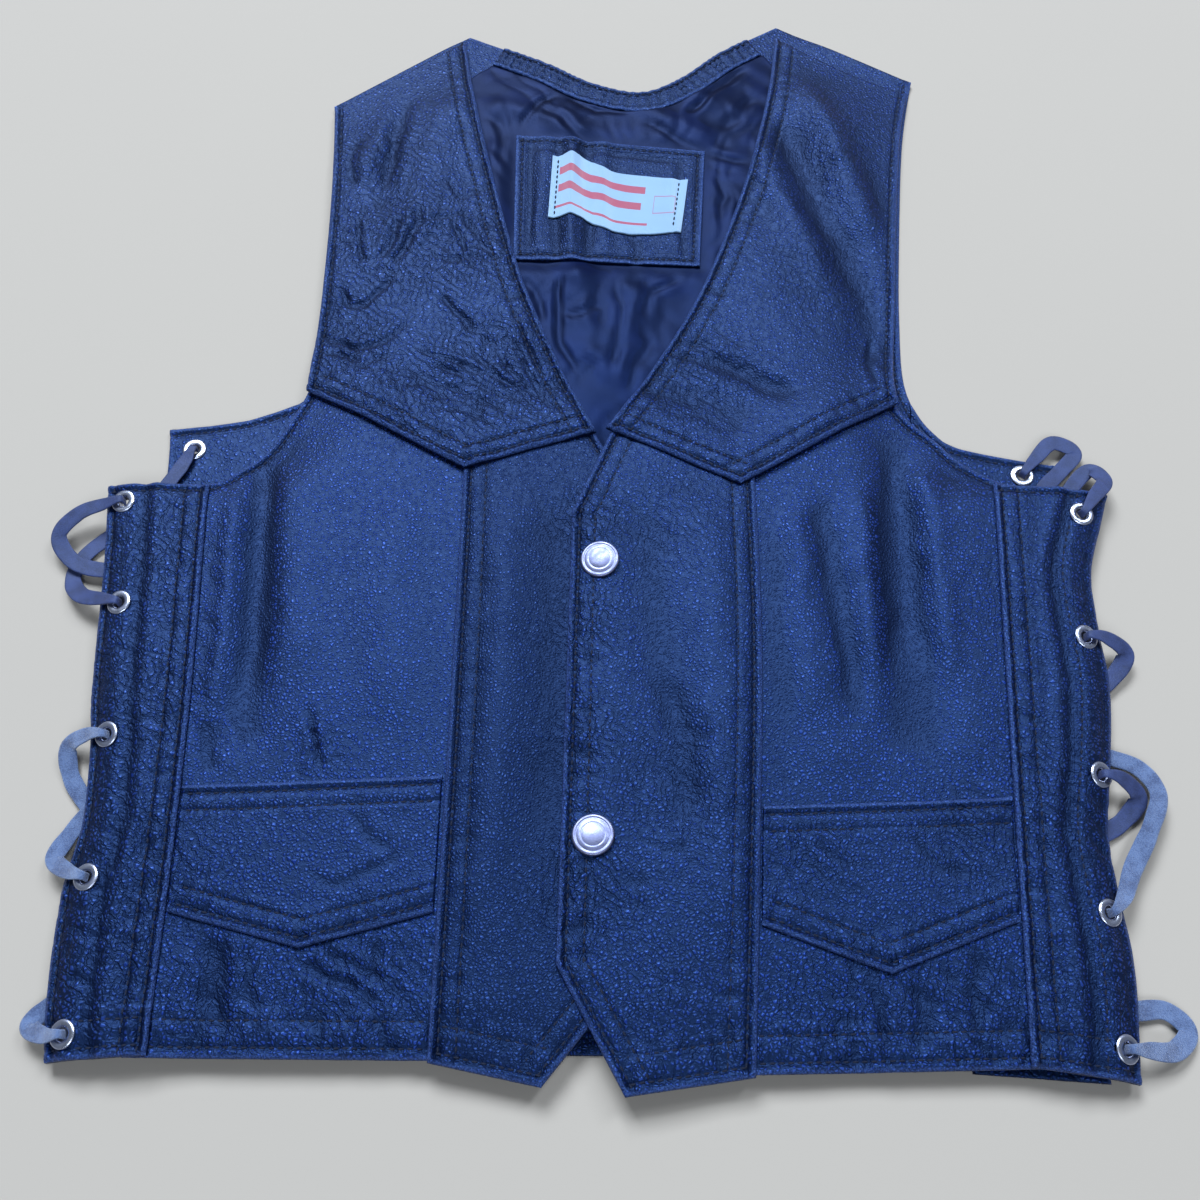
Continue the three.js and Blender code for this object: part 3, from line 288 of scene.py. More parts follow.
CREASES = creases_of(
    # Left yoke
    (((-117, 350), (-122, 315), (-126, 285), (-128, 258)), 5.0, 2.0),
    (((-101, 250), (-106, 232), (-112, 218), (-116, 204)), 2.8, 1.5),
    (((-113, 242), (-118, 226), (-125, 209)), 2.6, 1.2),
    (((-147, 195), (-141, 178), (-132, 177), (-122, 190), (-116, 205)), 1.9, 1.1),
    (((-149, 156), (-133, 149), (-118, 152), (-104, 168)), 1.8, 1.1),
    (((-133, 130), (-122, 141), (-110, 145)), 1.6, 0.9),
    (((-150, 145), (-138, 143), (-128, 137)), 1.5, 0.7),
    (((-92, 185), (-79, 171), (-67, 155)), 1.8, 1.1),
    (((-101, 240), (-84, 241), (-73, 247)), 1.5, 0.8),
    (((-84, 243), (-78, 214), (-69, 199)), 1.5, 0.8),
    (((-79, 247), (-68, 222), (-59, 209)), 1.4, 0.7),
    (((-99, 215), (-86, 209), (-72, 213), (-61, 206)), 1.4, 0.7),
    (((-101, 262), (-88, 268), (-80, 256), (-69, 262)), 1.4, 0.6),
    (((-50, 157), (-40, 136), (-29, 110)), 1.5, 0.9),
    (((-58, 148), (-44, 128), (-30, 110)), 1.5, 0.9),
    (((-73, 147), (-52, 128), (-32, 109)), 1.5, 0.9),
    (((-84, 143), (-58, 124), (-35, 107)), 1.4, 0.8),
    (((-97, 141), (-70, 128), (-44, 110)), 1.4, 0.8),
    (((-104, 152), (-80, 140), (-58, 130), (-40, 116)), 1.4, 0.7),
    (((-99, 129), (-76, 120), (-50, 107)), 1.4, 0.7),
    (((-109, 111), (-104, 122), (-94, 124), (-82, 117)), 1.4, 0.6),
    (((-99, 99), (-86, 106), (-70, 104), (-55, 95)), 1.4, 0.6),
    (((-45, 167), (-38, 148), (-32, 129)), 1.4, 0.7),
    (((-146, 310), (-148, 285), (-146, 262)), 3.5, 0.9),
    (((-140, 245), (-138, 222), (-131, 205)), 2.0, 0.8),
    # Right yoke
    (((103, 335), (117, 288), (133, 238), (147, 192), (156, 148)), 9.0, 1.8),
    (((122, 358), (137, 312), (151, 262), (158, 214)), 8.0, -2.2),
    (((82, 330), (97, 280), (114, 228), (131, 178)), 10.0, -2.6),
    (((50, 146), (76, 132), (92, 121), (108, 112)), 5.5, 1.7),
    (((38, 159), (52, 151), (67, 151)), 1.6, 0.6),
    (((36, 147), (50, 141), (63, 136)), 1.5, 0.6),
    (((34, 137), (48, 129), (61, 126)), 1.5, 0.5),
    (((30, 127), (44, 119), (56, 118)), 1.4, 0.5),
    (((59, 130), (63, 117), (60, 103)), 1.4, 0.4),
    (((150, 160), (146, 138), (150, 120)), 2.2, 0.7),
    # Right centre front
    (((30, -45), (41, -80), (40, -125)), 7.0, 1.1),
    (((-6, 52), (4, 45), (14, 42)), 1.6, 0.6),
    (((-10, 34), (2, 30), (9, 26)), 1.4, 0.5),
    (((14, -125), (28, -132), (44, -128)), 1.5, 0.4),
    # Left centre front
    (((-30, 70), (-22, 20), (-20, -60), (-24, -150)), 12.0, 1.4),
    (((-50, 66), (-48, -60), (-54, -190)), 9.0, -1.5),
    (((56, 60), (60, -60), (52, -200)), 12.0, -2.3),
    (((24, 62), (26, 0), (31, -60), (26, -140)), 11.0, 1.3),
    # Left side front
    (((-156, 84), (-150, 10), (-146, -60)), 11.0, -1.8),
    (((-100, 66), (-104, 0), (-96, -80)), 12.0, -1.3),
    (((-177, 88), (-172, 40), (-168, -10), (-166, -70)), 6.0, 1.6),
    (((-187, 60), (-184, 0), (-181, -80)), 5.0, -1.5),
    (((-139, -58), (-134, -75), (-127, -93)), 1.8, 0.8),
    (((-136, -70), (-131, -82), (-129, -94)), 1.5, 0.7),
    (((-185, -66), (-182, -98)), 5.0, 0.9),
    (((-129, -179), (-118, -186), (-103, -192)), 2.6, 1.3),
    (((-121, -176), (-106, -182), (-90, -187)), 2.2, 1.0),
    (((-169, -166), (-166, -190), (-163, -210)), 5.5, 1.5),
    (((-156, -171), (-152, -190), (-146, -202)), 2.2, 0.8),
    (((-96, -164), (-99, -185), (-103, -202)), 1.8, 0.7),
    # Right side front
    (((113, 66), (114, 20), (120, -30), (117, -82)), 6.0, 1.5),
    (((151, 95), (153, 45), (151, 0), (148, -45)), 9.0, 2.0),
    (((133, 70), (133, 0), (133, -60)), 7.0, -2.0),
    (((98, 56), (98, 0), (100, -80)), 7.0, -1.5),
    (((169, 84), (168, 20), (166, -60)), 7.0, -1.6),
    (((134, -188), (139, -200), (137, -216)), 4.0, 1.1),
    (((118, -190), (121, -203), (117, -214)), 2.2, 0.8),
    (((165, -175), (160, -195), (163, -212)), 3.0, 0.8),
    # Pocket flaps
    (((-136, -141), (-118, -146), (-100, -138), (-84, -129)), 2.0, 0.6),
    (((-112, -110), (-104, -125), (-90, -132)), 3.0, 0.5),
    (((92, -126), (108, -135), (126, -137)), 1.8, 0.5),
    (((140, -124), (150, -138), (166, -142)), 2.2, 0.6),
    # Bands
    (((-236, -30), (-222, -36), (-212, -34)), 1.8, 0.5),
    (((-234, -164), (-220, -170), (-208, -166)), 1.8, 0.6),
    (((-230, -186), (-218, -190)), 1.8, 0.6),
    (((212, -120), (222, -126), (230, -134)), 2.0, 0.6),
)

# Creases of the lining inside the neck
LINING_CREASES = creases_of(
    (((-52, 320), (-36, 337), (-24, 345)), 2.5, 1.4),
    (((-38, 334), (-20, 322), (-6, 300)), 2.6, 1.5),
    (((-66, 330), (-58, 312), (-60, 285)), 2.6, 1.1),
    (((-20, 342), (0, 330), (20, 331)), 2.4, 1.0),
    (((26, 326), (50, 305), (66, 295), (92, 290)), 2.2, 1.7),
    (((50, 326), (74, 355), (94, 370)), 2.2, 1.5),
    (((70, 318), (84, 326), (96, 344)), 3.0, 1.1),
    (((66, 284), (74, 262), (70, 236)), 3.0, 1.0),
    (((-23, 208), (-23, 180), (-21, 155), (-10, 132)), 2.0, 1.6),
    (((2, 184), (-12, 175), (-22, 177)), 2.0, 1.1),
    (((8, 200), (14, 178), (10, 150), (4, 128)), 3.0, 1.3),
    (((46, 204), (28, 192), (22, 172)), 2.2, 1.2),
    (((-46, 204), (-36, 190), (-30, 168)), 2.4, 1.0),
    (((30, 160), (20, 142), (14, 122)), 2.4, 1.0),
)

# Folds of the neck patch
PATCH_CREASES = creases_of(
    (((-34, 320), (-34, 280), (-36, 240), (-33, 205)), 2.8, -1.5),
    (((-25, 320), (-24, 290), (-26, 250), (-24, 205)), 2.8, 1.6),
    (((-16, 320), (-17, 260), (-16, 205)), 2.8, -2.2),
    (((-7, 320), (-8, 280), (-6, 240), (-8, 205)), 2.8, 1.6),
    (((3, 320), (2, 270), (4, 205)), 3.2, -1.5),
    (((14, 236), (22, 226), (20, 205)), 3.0, 0.8),
    (((48, 300), (47, 260), (49, 205)), 2.4, 0.9),
    (((-42, 316), (-41, 260), (-42, 210)), 2.0, 0.8),
    (((-50, 300), (0, 297), (60, 288)), 2.6, 0.9),
)


class Finish(Enum):
    """The finishes of the vest: each one's name, and the record's slot that it belongs to."""

    HIDE = ("pebbled_hide", "leather")
    FINE_HIDE = ("fine_hide", "leather")
    DARK_HIDE = ("dark_hide", "leather")
    CREASED_HIDE = ("creased_hide", "leather")
    THREAD = ("sewing_thread", "leather")
    SATIN = ("lining_satin", "lining")
    TAPE = ("label_tape", "label")
    LACE_GRAIN = ("lace_grain", "lace")
    LACE_SUEDE = ("lace_suede", "lace")
    NICKEL = ("bright_nickel", "nickel")
    CAP_NICKEL = ("cap_nickel", "nickel")

    @property
    def slot(self) -> str:
        """The record's material slot."""
        return self.value[1]


# Edges and flat outlines


def catmull_rom(rows: Sequence[Sequence[float]], share: Grid) -> Grid:
    """Carries a smooth line through rows.

    Between rows 1 and 2 it is the cubic whose slopes at its ends are half the step from row 0 to
    row 2 and half the step from row 1 to row 3.

    Args:
        rows: Places on the line.
        share: How far along, from 0 to 1, counted in rows.

    Returns:
        The places, one for each share.
    """
    p = np.asarray(rows, float)
    last = len(p) - 1
    at = np.clip(share, 0, 1) * last
    i = np.minimum(at.astype(int), last - 1)
    w = (at - i)[..., None]
    a, b = p[i], p[i + 1]
    slope_a = (b - p[np.maximum(i - 1, 0)]) / 2
    slope_b = (p[np.minimum(i + 2, last)] - a) / 2
    return hermite(a, b, slope_a, slope_b, w)


def hermite(a: Grid, b: Grid, slope_a: Grid, slope_b: Grid, w: Grid) -> Grid:
    """The cubic from a to b with the given slopes at its ends, at shares w of the way."""
    cubed = (2 * a - 2 * b + slope_a + slope_b) * w**3
    return cubed + (3 * b - 3 * a - 2 * slope_a - slope_b) * w**2 + slope_a * w + a


class Edge:
    """An edge of a cut piece."""

    def at(self, share: Grid) -> Grid:
        """Places at shares of the edge, from 0 to 1."""
        raise NotImplementedError

    def line(self, pitch: float = 2.0) -> Grid:
        """The edge as a run of places about pitch apart."""
        rough = self.at(np.linspace(0, 1, 200))
        length = np.hypot(*np.diff(rough, axis=0).T).sum()
        return self.at(np.linspace(0, 1, max(2, int(length / pitch) + 1)))


@dataclass(frozen=True)
class Straight(Edge):
    """A straight edge."""

    start: tuple[float, float]
    end: tuple[float, float]

    def at(self, share: Grid) -> Grid:
        """Places at shares of the edge: start + (end - start) * share."""
        a, b = np.array(self.start, float), np.array(self.end, float)
        return a + (b - a) * np.asarray(share, float)[..., None]


@dataclass(frozen=True)
class Curved(Edge):
    """A smooth edge through its rows, even along its length."""

    rows: Rows

    def at(self, share: Grid) -> Grid:
        """Places at shares of the edge's length.

        Args:
            share: How far along: 0 to 1.

        Returns:
            The values there.
        """
        steps = np.linspace(0, 1, 400)
        run = catmull_rom(self.rows, steps)
        length = np.concatenate([[0], np.hypot(*np.diff(run, axis=0).T).cumsum()])
        return catmull_rom(self.rows, np.interp(np.clip(share, 0, 1), length / length[-1], steps))


@dataclass(frozen=True)
class Chain(Edge):
    """Edges end to end. Each stop is the share of the whole at which one hands over to the next."""

    parts: tuple[Edge, ...]
    stops: tuple[float, ...]

    def at(self, share: Grid) -> Grid:
        """Places at shares of the whole.

        Args:
            share: How far along: 0 to 1.

        Returns:
            The values there.
        """
        share = np.asarray(share, float)
        marks = (0.0, *self.stops, 1.0)
        which = np.searchsorted(np.array(self.stops) + 1e-6, share)
        runs = [
            part.at(np.clip((share - marks[k]) / (marks[k + 1] - marks[k]), 0, 1))
            for k, part in enumerate(self.parts)
        ]
        return np.take_along_axis(np.stack(runs), which[None, ..., None], 0)[0]


@dataclass(frozen=True)
class Reverse(Edge):
    """An edge walked from its other end."""

    edge: Edge

    def at(self, share: Grid) -> Grid:
        """Places at shares from the far end."""
        return self.edge.at(1 - np.asarray(share, float))


@dataclass(frozen=True)
class Offset(Edge):
    """An edge moved sideways, to the right of the way it runs."""

    edge: Edge
    distance: float
    start: float = 0.0
    end: float = 1.0

    def at(self, share: Grid) -> Grid:
        """Places at shares: the edge plus distance times its unit normal (dy, -dx).

        Args:
            share: How far along: 0 to 1.

        Returns:
            The values there.
        """
        share = self.start + (self.end - self.start) * np.asarray(share, float)
        step = 0.01
        along = self.edge.at(np.clip(share + step, 0, 1)) - self.edge.at(np.clip(share - step, 0, 1))
        along /= np.linalg.norm(along, axis=-1, keepdims=True)
        return self.edge.at(share) + self.distance * np.stack([along[..., 1], -along[..., 0]], -1)


@dataclass(frozen=True)
class Cut:
    """The flat outline of a piece with four edges. Share u runs across it and v runs down it."""

    top: Edge
    bottom: Edge
    left: Edge
    right: Edge

    def at(self, u: Grid, v: Grid) -> tuple[Grid, Grid]:
        """Fills the outline between its edges.

        A place is (1 - v) top(u) + v bottom(u) + (1 - u) left(v) + u right(v), less the four
        corners weighed by the same shares.

        Args:
            u: Shares across, one for each column.
            v: Shares down, one for each row.

        Returns:
            x and y, each of shape (rows, columns).
        """
        top, bottom = self.top.at(u)[None], self.bottom.at(u)[None]
        left, right = self.left.at(v)[:, None], self.right.at(v)[:, None]
        a, b = u[None, :, None], v[:, None, None]
        corners = (
            (1 - a) * (1 - b) * top[:, :1]
            + a * (1 - b) * top[:, -1:]
            + (1 - a) * b * bottom[:, :1]
            + a * b * bottom[:, -1:]
        )
        p = (1 - b) * top + b * bottom + (1 - a) * left + a * right - corners
        return p[..., 0], p[..., 1]

    def outline(self) -> Grid:
        """The outline once round, as places about 2 mm apart."""
        runs = self.left.line(), self.bottom.line(), self.right.line()[::-1], self.top.line()[::-1]
        return np.concatenate([run[:-1] for run in runs])


def quad(corners: Rows) -> Cut:
    """A flat outline between four corners: upper left, upper right, lower left, lower right."""
    a, b, c, d = corners
    return Cut(Straight(a, b), Straight(c, d), Straight(a, c), Straight(b, d))


def side_cut(side: Side, top: Edge, bottom: Edge, outer: Edge, inner: Edge) -> Cut:
    """An outline on one side of the vest.

    Args:
        side: Which side.
        top: Its top edge, from the outer edge to the inner one.
        bottom: Its bottom edge, in the same way.
        outer: The edge away from the middle, running down.
        inner: The edge towards the middle, running down.

    Returns:
        The outline, with its left edge to the left.
    """
    if side is Side.LEFT:
        return Cut(top, bottom, outer, inner)
    return Cut(Reverse(top), Reverse(bottom), inner, outer)


def ease(t: Grid) -> Grid:
    """A soft step from 0 to 1: t * t * (3 - 2 t) for t held between 0 and 1."""
    t = np.clip(t, 0, 1)
    return t * t * (3 - 2 * t)


def nearest_on(rows: Grid, x: Grid, y: Grid) -> tuple[Grid, Grid]:
    """Measures how far places are from a line of straight runs.

    On each run from a to b the foot is a + t (b - a), with t the place's share along it held
    between 0 and 1.

    Args:
        rows: Places on the line.
        x: Places' x.
        y: Places' y.

    Returns:
        The distance to the nearest foot, and the length of line before that foot.
    """
    p = np.asarray(rows, float)
    step = np.diff(p, axis=0)
    size = np.hypot(*step.T)
    start = np.concatenate([[0], size.cumsum()[:-1]])
    best = np.full(np.shape(x), np.inf)
    run = np.zeros(np.shape(x))
    for (ax, ay), (dx, dy), length, begun in zip(p[:-1], step, size, start):
        t = np.clip(((x - ax) * dx + (y - ay) * dy) / max(length * length, 1e-9), 0, 1)
        d = np.hypot(x - ax - t * dx, y - ay - t * dy)
        closer = d < best
        best = np.where(closer, d, best)
        run = np.where(closer, begun + t * length, run)
    return best, run


def inside(outline: Grid, x: Grid, y: Grid) -> Grid:
    """Whether places lie inside an outline: a ray to the right crosses it an odd number of times.

    Args:
        outline: The closed outline.
        x: Distances to the right, in mm.
        y: Distances towards the collar, in mm.

    Returns:
        True inside.
    """
    odd = np.zeros(np.shape(x), bool)
    for (ax, ay), (bx, by) in zip(outline, np.roll(outline, -1, axis=0)):
        if ay == by:
            continue
        crosses = (ay > y) != (by > y)
        odd ^= crosses & (x < ax + (bx - ax) * (y - ay) / (by - ay))
    return odd


def edge_at(rows: Rows, y: Grid) -> Grid:
    """The x at which an edge that runs down the page passes each y.

    Args:
        rows: The edge as points from its top down.
        y: Distances towards the collar, in mm.

    Returns:
        The edge's x at each y.
    """
    p = np.asarray(rows, float)
    i = np.clip(np.searchsorted(-p[:, 1], -np.asarray(y, float)), 1, len(p) - 1)
    a, b = p[i - 1], p[i]
    return a[..., 0] + (b[..., 0] - a[..., 0]) * (y - a[..., 1]) / (b[..., 1] - a[..., 1])


# How the layers lie


@dataclass(frozen=True)
class Noise:
    """Smooth random relief: heights between -1 and 1 on a square net, blended by soft steps."""

    size: float
    seed: int
    turn: float = 0.0
    stretch: float = 1.0

    def at(self, x: Grid, y: Grid) -> Grid:
        """Heights at places. Stretch draws the bumps out along the turned x.

        Args:
            x: Distances to the right, in mm.
            y: Distances towards the collar, in mm.

        Returns:
            The values there.
        """
        cos, sin = math.cos(math.radians(self.turn)), math.sin(math.radians(self.turn))
        u = (cos * x + sin * y) / (self.size * self.stretch)
        v = (-sin * x + cos * y) / self.size
        net = np.random.default_rng(self.seed).uniform(-1, 1, (64, 64))
        i, j = np.floor(u).astype(int), np.floor(v).astype(int)
        a, b = ease(u - i), ease(v - j)
        i0, i1, j0, j1 = i % 64, (i + 1) % 64, j % 64, (j + 1) % 64
        near = net[i0, j0] * (1 - a) + net[i1, j0] * a
        far = net[i0, j1] * (1 - a) + net[i1, j1] * a
        return near * (1 - b) + far * b


def wrinkled(x: Grid, y: Grid, spacing: float, turn: float, seed: int) -> Grid:
    """Narrow valleys that wander side by side and come and go.

    They lie where a turned and bent x passes whole numbers of spacings, each a valley of
    exp(-(distance / 0.17 spacings) squared), weighed by a slow noise.

    Args:
        x: Places' x.
        y: Places' y.
        spacing: From one valley to the next.
        turn: The way they run, in degrees from the page's upright.
        seed: Which of the noises.

    Returns:
        Depths from 0 to 1.
    """
    cos, sin = math.cos(math.radians(turn)), math.sin(math.radians(turn))
    bend = 1.1 * Noise(2.6 * spacing, seed).at(x, y) + 0.4 * Noise(1.1 * spacing, seed + 1).at(x, y)
    phase = (cos * x - sin * y) / spacing + bend
    away = np.abs(phase - np.round(phase))
    weight = ease(0.5 + 1.4 * Noise(1.9 * spacing, seed + 2, turn, 1.3).at(x, y))
    return weight * np.exp(-((away / 0.17) ** 2))


def crumpled(x: Grid, y: Grid) -> Grid:
    """How crumpled the hide is, from 0 to 1: the greatest amount * exp(-(distance / reach) squared).

    Args:
        x: Distances to the right, in mm.
        y: Distances towards the collar, in mm.

    Returns:
        The share, 0 to 1.
    """
    depth = np.zeros(np.shape(x))
    for cx, cy, reach, amount in CREASED:
        depth = np.maximum(depth, amount * np.exp(-(((x - cx) ** 2 + (y - cy) ** 2) / reach**2)))
    return depth


def creases(x: Grid, y: Grid) -> Grid:
    """The hide's relief: the listed creases, and fine crumpling where the table says.

    Args:
        x: Distances to the right, in mm.
        y: Distances towards the collar, in mm.

    Returns:
        The depth, in mm.
    """
    depth = crumpled(x, y)
    bend = 3.5 * Noise(13, 3).at(x, y)
    across = 3.5 * Noise(12, 4).at(x, y)
    crumple = 0.95 * wrinkled(x, y, 12, -38, 5) + 0.7 * wrinkled(x, y, 8.5, -75, 15)
    crumple += 0.6 * wrinkled(x, y, 9.5, 20, 25)
    swell = 0.5 * Noise(17, 11, 10, 1.4).at(x, y)
    total = depth * (swell + 0.2 - crumple)
    for crease in CREASES:
        total = total + crease.at(x + 0.5 * bend, y + 0.5 * across)
    return RELIEF * total


def hollows(z: Grid) -> Grid:
    """How far each place of a grid lies under the average of what is around it, near and wide.

    Args:
        z: Heights on a grid, in mm.

    Returns:
        The depth, in mm.
    """
    soft, total = z, 0.0
    for rounds, share in SOFTENING:
        for _ in range(rounds):
            rim = np.pad(soft, 1, mode="edge")
            soft = (rim[:-2, 1:-1] + rim[2:, 1:-1] + rim[1:-1, :-2] + rim[1:-1, 2:] + 4 * soft) / 8
        total = total + share * (soft - z)
    return total


def folds_at(folds: Iterable[Sequence[float]], x: Grid, y: Grid) -> Grid:
    """Soft ridges and troughs: height * exp(-(distance / width) squared) for each fold.

    Args:
        folds: Both ends, the width and the height of each fold.
        x: Distances to the right, in mm.
        y: Distances towards the collar, in mm.

    Returns:
        The height, in mm.
    """
    height = np.zeros(np.shape(x))
    for x0, y0, x1, y1, width, lift in folds:
        distance, _ = nearest_on(((x0, y0), (x1, y1)), x, y)
        height = height + lift * np.exp(-((distance / width) ** 2))
    return height


def roll_at(edges: FrontEdges, x: Grid, y: Grid) -> Grid:
    """How far a band's outer edge has rolled down: depth * (1 - sin(quarter turn * share inside)).

    Args:
        edges: The edges of one front.
        x: Distances to the right, in mm.
        y: Distances towards the collar, in mm.

    Returns:
        The drop, in mm.
    """
    rows, roll = edges.band_outer, edges.roll
    share = np.clip(np.abs(edge_at(rows, y) - x) / ROLL_WIDTH, 0, 1)
    down = np.clip((rows[0][1] - y) / (rows[0][1] - HEM_Y), 0, 1)
    depth = roll[0] + (roll[1] - roll[0]) * ease(down * 2.2)
    return depth * (1 - np.sin(share * math.pi / 2))


def nearer(pick: Callable[[FrontEdges], Rows], x: Grid, y: Grid) -> Grid:
    """The distance to one kind of edge, of the nearer front."""
    return np.minimum(nearest_on(pick(LEFT), x, y)[0], nearest_on(pick(RIGHT), x, y)[0])


def front_lay(x: Grid, y: Grid) -> Grid:
    """The underside of the lowest layer of the fronts.

    It is the fronts' height over the table, plus the rise towards the bands and the folds, less
    the drops at the hem, the neck, the armholes and the rolled outer edges. Near the shoulder
    seams it blends to the height of the back's shoulders.

    Args:
        x: Places' x.
        y: Places' y.

    Returns:
        Heights.
    """
    side = ease((np.abs(x) - BAND_RISE_FROM) / BAND_RISE_OVER)
    z = FRONT_LAY + BAND_RISE * side * ease((90 - y) / 40)
    z = z - HEM_DROP * (1 - ease((y - HEM_Y) / HEM_REACH)) + folds_at(FRONT_FOLDS, x, y)
    z = z - NECK_DROP * (1 - ease(nearer(lambda e: e.neck, x, y) / NECK_REACH))
    arm = nearer(lambda e: e.armhole + e.underarm[2:6], x, y)
    z = z - ARM_DROP * (1 - ease(arm / ARM_REACH)) * ease((y - 45) / 25)
    z = z - np.where(x < 0, roll_at(LEFT, x, y), roll_at(RIGHT, x, y))
    seam = ease(nearer(lambda e: e.shoulder, x, y) / SHOULDER_REACH)
    return SHOULDER_LAY + (z - SHOULDER_LAY) * seam + creases(x, y) * seam


def overlap_lift(x: Grid) -> Grid:
    """How far the right centre panel climbs where it laps over the left one."""
    return LAYER * (1 - ease((x - OVERLAP_FROM) / OVERLAP_EASE))


def yoke_lift(lower: Rows, x: Grid, y: Grid) -> Grid:
    """How far a yoke is held up along its pointed edge, settling above it."""
    distance, _ = nearest_on(lower, x, y)
    return 1 - ease((distance - YOKE_HOLD) / YOKE_EASE)


def buckled(x: Grid, y: Grid) -> Grid:
    """How the neck patch bows: two upright folds with a ridge between them, and a slow swell.

    Args:
        x: Distances to the right, in mm.
        y: Distances towards the collar, in mm.

    Returns:
        The height, in mm.
    """
    total = 0.35 * Noise(16, 71, 80, 2).at(x, y)
    for crease in PATCH_CREASES:
        total = total + crease.at(x, y)
    return np.maximum(total, -1.1)


def lining_lay(x: Grid, y: Grid) -> Grid:
    """The underside of the lining."""
    return LAYER + folds_at(LINING_FOLDS, x, y)


# Meshes


def net_faces(rows: int, columns: int) -> Grid:
    """The four-sided faces of a grid, counterclockwise when rows run down the page."""
    a = (np.arange(rows - 1)[:, None] * columns + np.arange(columns - 1)).ravel()
    return np.stack([a, a + columns, a + columns + 1, a + 1], 1)


def tube_faces(rings: int, around: int) -> Grid:
    """The four-sided faces between rings of vertices that follow one another.

    Args:
        rings: How many rings.
        around: How many points a ring has.

    Returns:
        Four vertices a face.
    """
    i = np.arange(rings - 1)[:, None] * around
    j = np.arange(around)[None]
    k = (j + 1) % around
    return np.stack([i + j, i + k, i + k + around, i + j + around], -1).reshape(-1, 4)


def to_mesh(name: str, places: Grid, faces: Sequence[Grid], sharp: float | None = None) -> Object:
    """Puts whole arrays into a mesh and links its object.

    Args:
        name: The piece's name.
        places: Vertices in millimetres, of shape (n, 3).
        faces: Arrays of faces, each array with one number of sides.
        sharp: Edges bent more than this many degrees stay sharp, or None for all smooth.

    Returns:
        The new object, at the origin.
    """
    mesh = bpy.data.meshes.new(name)
    mesh.vertices.add(len(places))
    mesh.vertices.foreach_set("co", (np.asarray(places, float) * MM).ravel())
    corners = np.concatenate([f.ravel() for f in faces])
    sides = np.concatenate([np.full(len(f), f.shape[1]) for f in faces])
    mesh.loops.add(len(corners))
    mesh.loops.foreach_set("vertex_index", corners)
    mesh.polygons.add(len(sides))
    mesh.polygons.foreach_set("loop_start", np.concatenate([[0], sides.cumsum()[:-1]]))
    mesh.polygons.foreach_set("use_smooth", np.ones(len(sides), bool))
    mesh.update(calc_edges=True)
    mesh.validate()
    if sharp is not None:
        mesh.set_sharp_from_angle(angle=math.radians(sharp))
    piece = bpy.data.objects.new(name, mesh)
    bpy.context.scene.collection.objects.link(piece)
    return piece


def dress(piece: Object, finish: Finish, node: str | None = None) -> None:
    """Gives a piece its finish and its body, and hides the node that it takes the place of.

    Args:
        piece: The piece.
        finish: Its finish.
        node: The node that it replaces, if any.
    """
    piece.data.materials.append(MATERIALS[finish])
    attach(piece, ROOT)
    finish.slot
    if node:
        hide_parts(node)


def write_uv(piece: Object, u: Grid, v: Grid) -> None:
    """Writes a UV map from one pair of numbers for each vertex.

    Args:
        piece: The piece.
        u: First values.
        v: Second values.
    """
    mesh = piece.data
    corner = np.empty(len(mesh.loops), int)
    mesh.loops.foreach_get("vertex_index", corner)
    layer = mesh.uv_layers.new(name="cloth")
    layer.uv.foreach_set("vector", np.stack([u[corner], v[corner]], 1).ravel())


def write_number(piece: Object, name: str, values: Grid) -> None:
    """Writes a number for each vertex."""
    layer = piece.data.attributes.new(name, "FLOAT", "POINT")
    layer.data.foreach_set("value", values.ravel())


def wall(name: str, x: Grid, y: Grid, low: Grid, high: Grid, open_cells: Grid) -> Object:
    """Builds a closed wall between two heights over a grid.

    Args:
        name: The piece's name.
        x: Places' x, of shape (rows, columns).
        y: Places' y.
        low: The lower face's heights.
        high: The upper face's heights.
        open_cells: Which cells are holes, of shape (rows - 1, columns - 1).

    Returns:
        The wall's object.
    """
    rows, columns = x.shape
    layer = x.size
    places = np.concatenate([np.stack([x, y, z], -1).reshape(-1, 3) for z in (high, low)])
    kept = ~open_cells.ravel()
    top = net_faces(rows, columns)[kept]
    bottom = top[:, ::-1] + layer
    index = np.arange(layer).reshape(rows, columns)
    solid = np.zeros((rows + 1, columns + 1), bool)
    solid[1:-1, 1:-1] = ~open_cells
    sides = []
    upright = solid[1:-1, :-1] != solid[1:-1, 1:]
    level = solid[:-1, 1:-1] != solid[1:, 1:-1]
    for mask, first, second, owner in (
        (upright, index[:-1], index[1:], solid[1:-1, 1:]),
        (level, index[:, 1:], index[:, :-1], solid[1:, 1:-1]),
    ):
        a, b = first[mask], second[mask]
        flip = ~owner[mask]
        a, b = np.where(flip, b, a), np.where(flip, a, b)
        sides.append(np.stack([a, a + layer, b + layer, b], 1))
    return to_mesh(name, places, [top, bottom, *sides], 50)


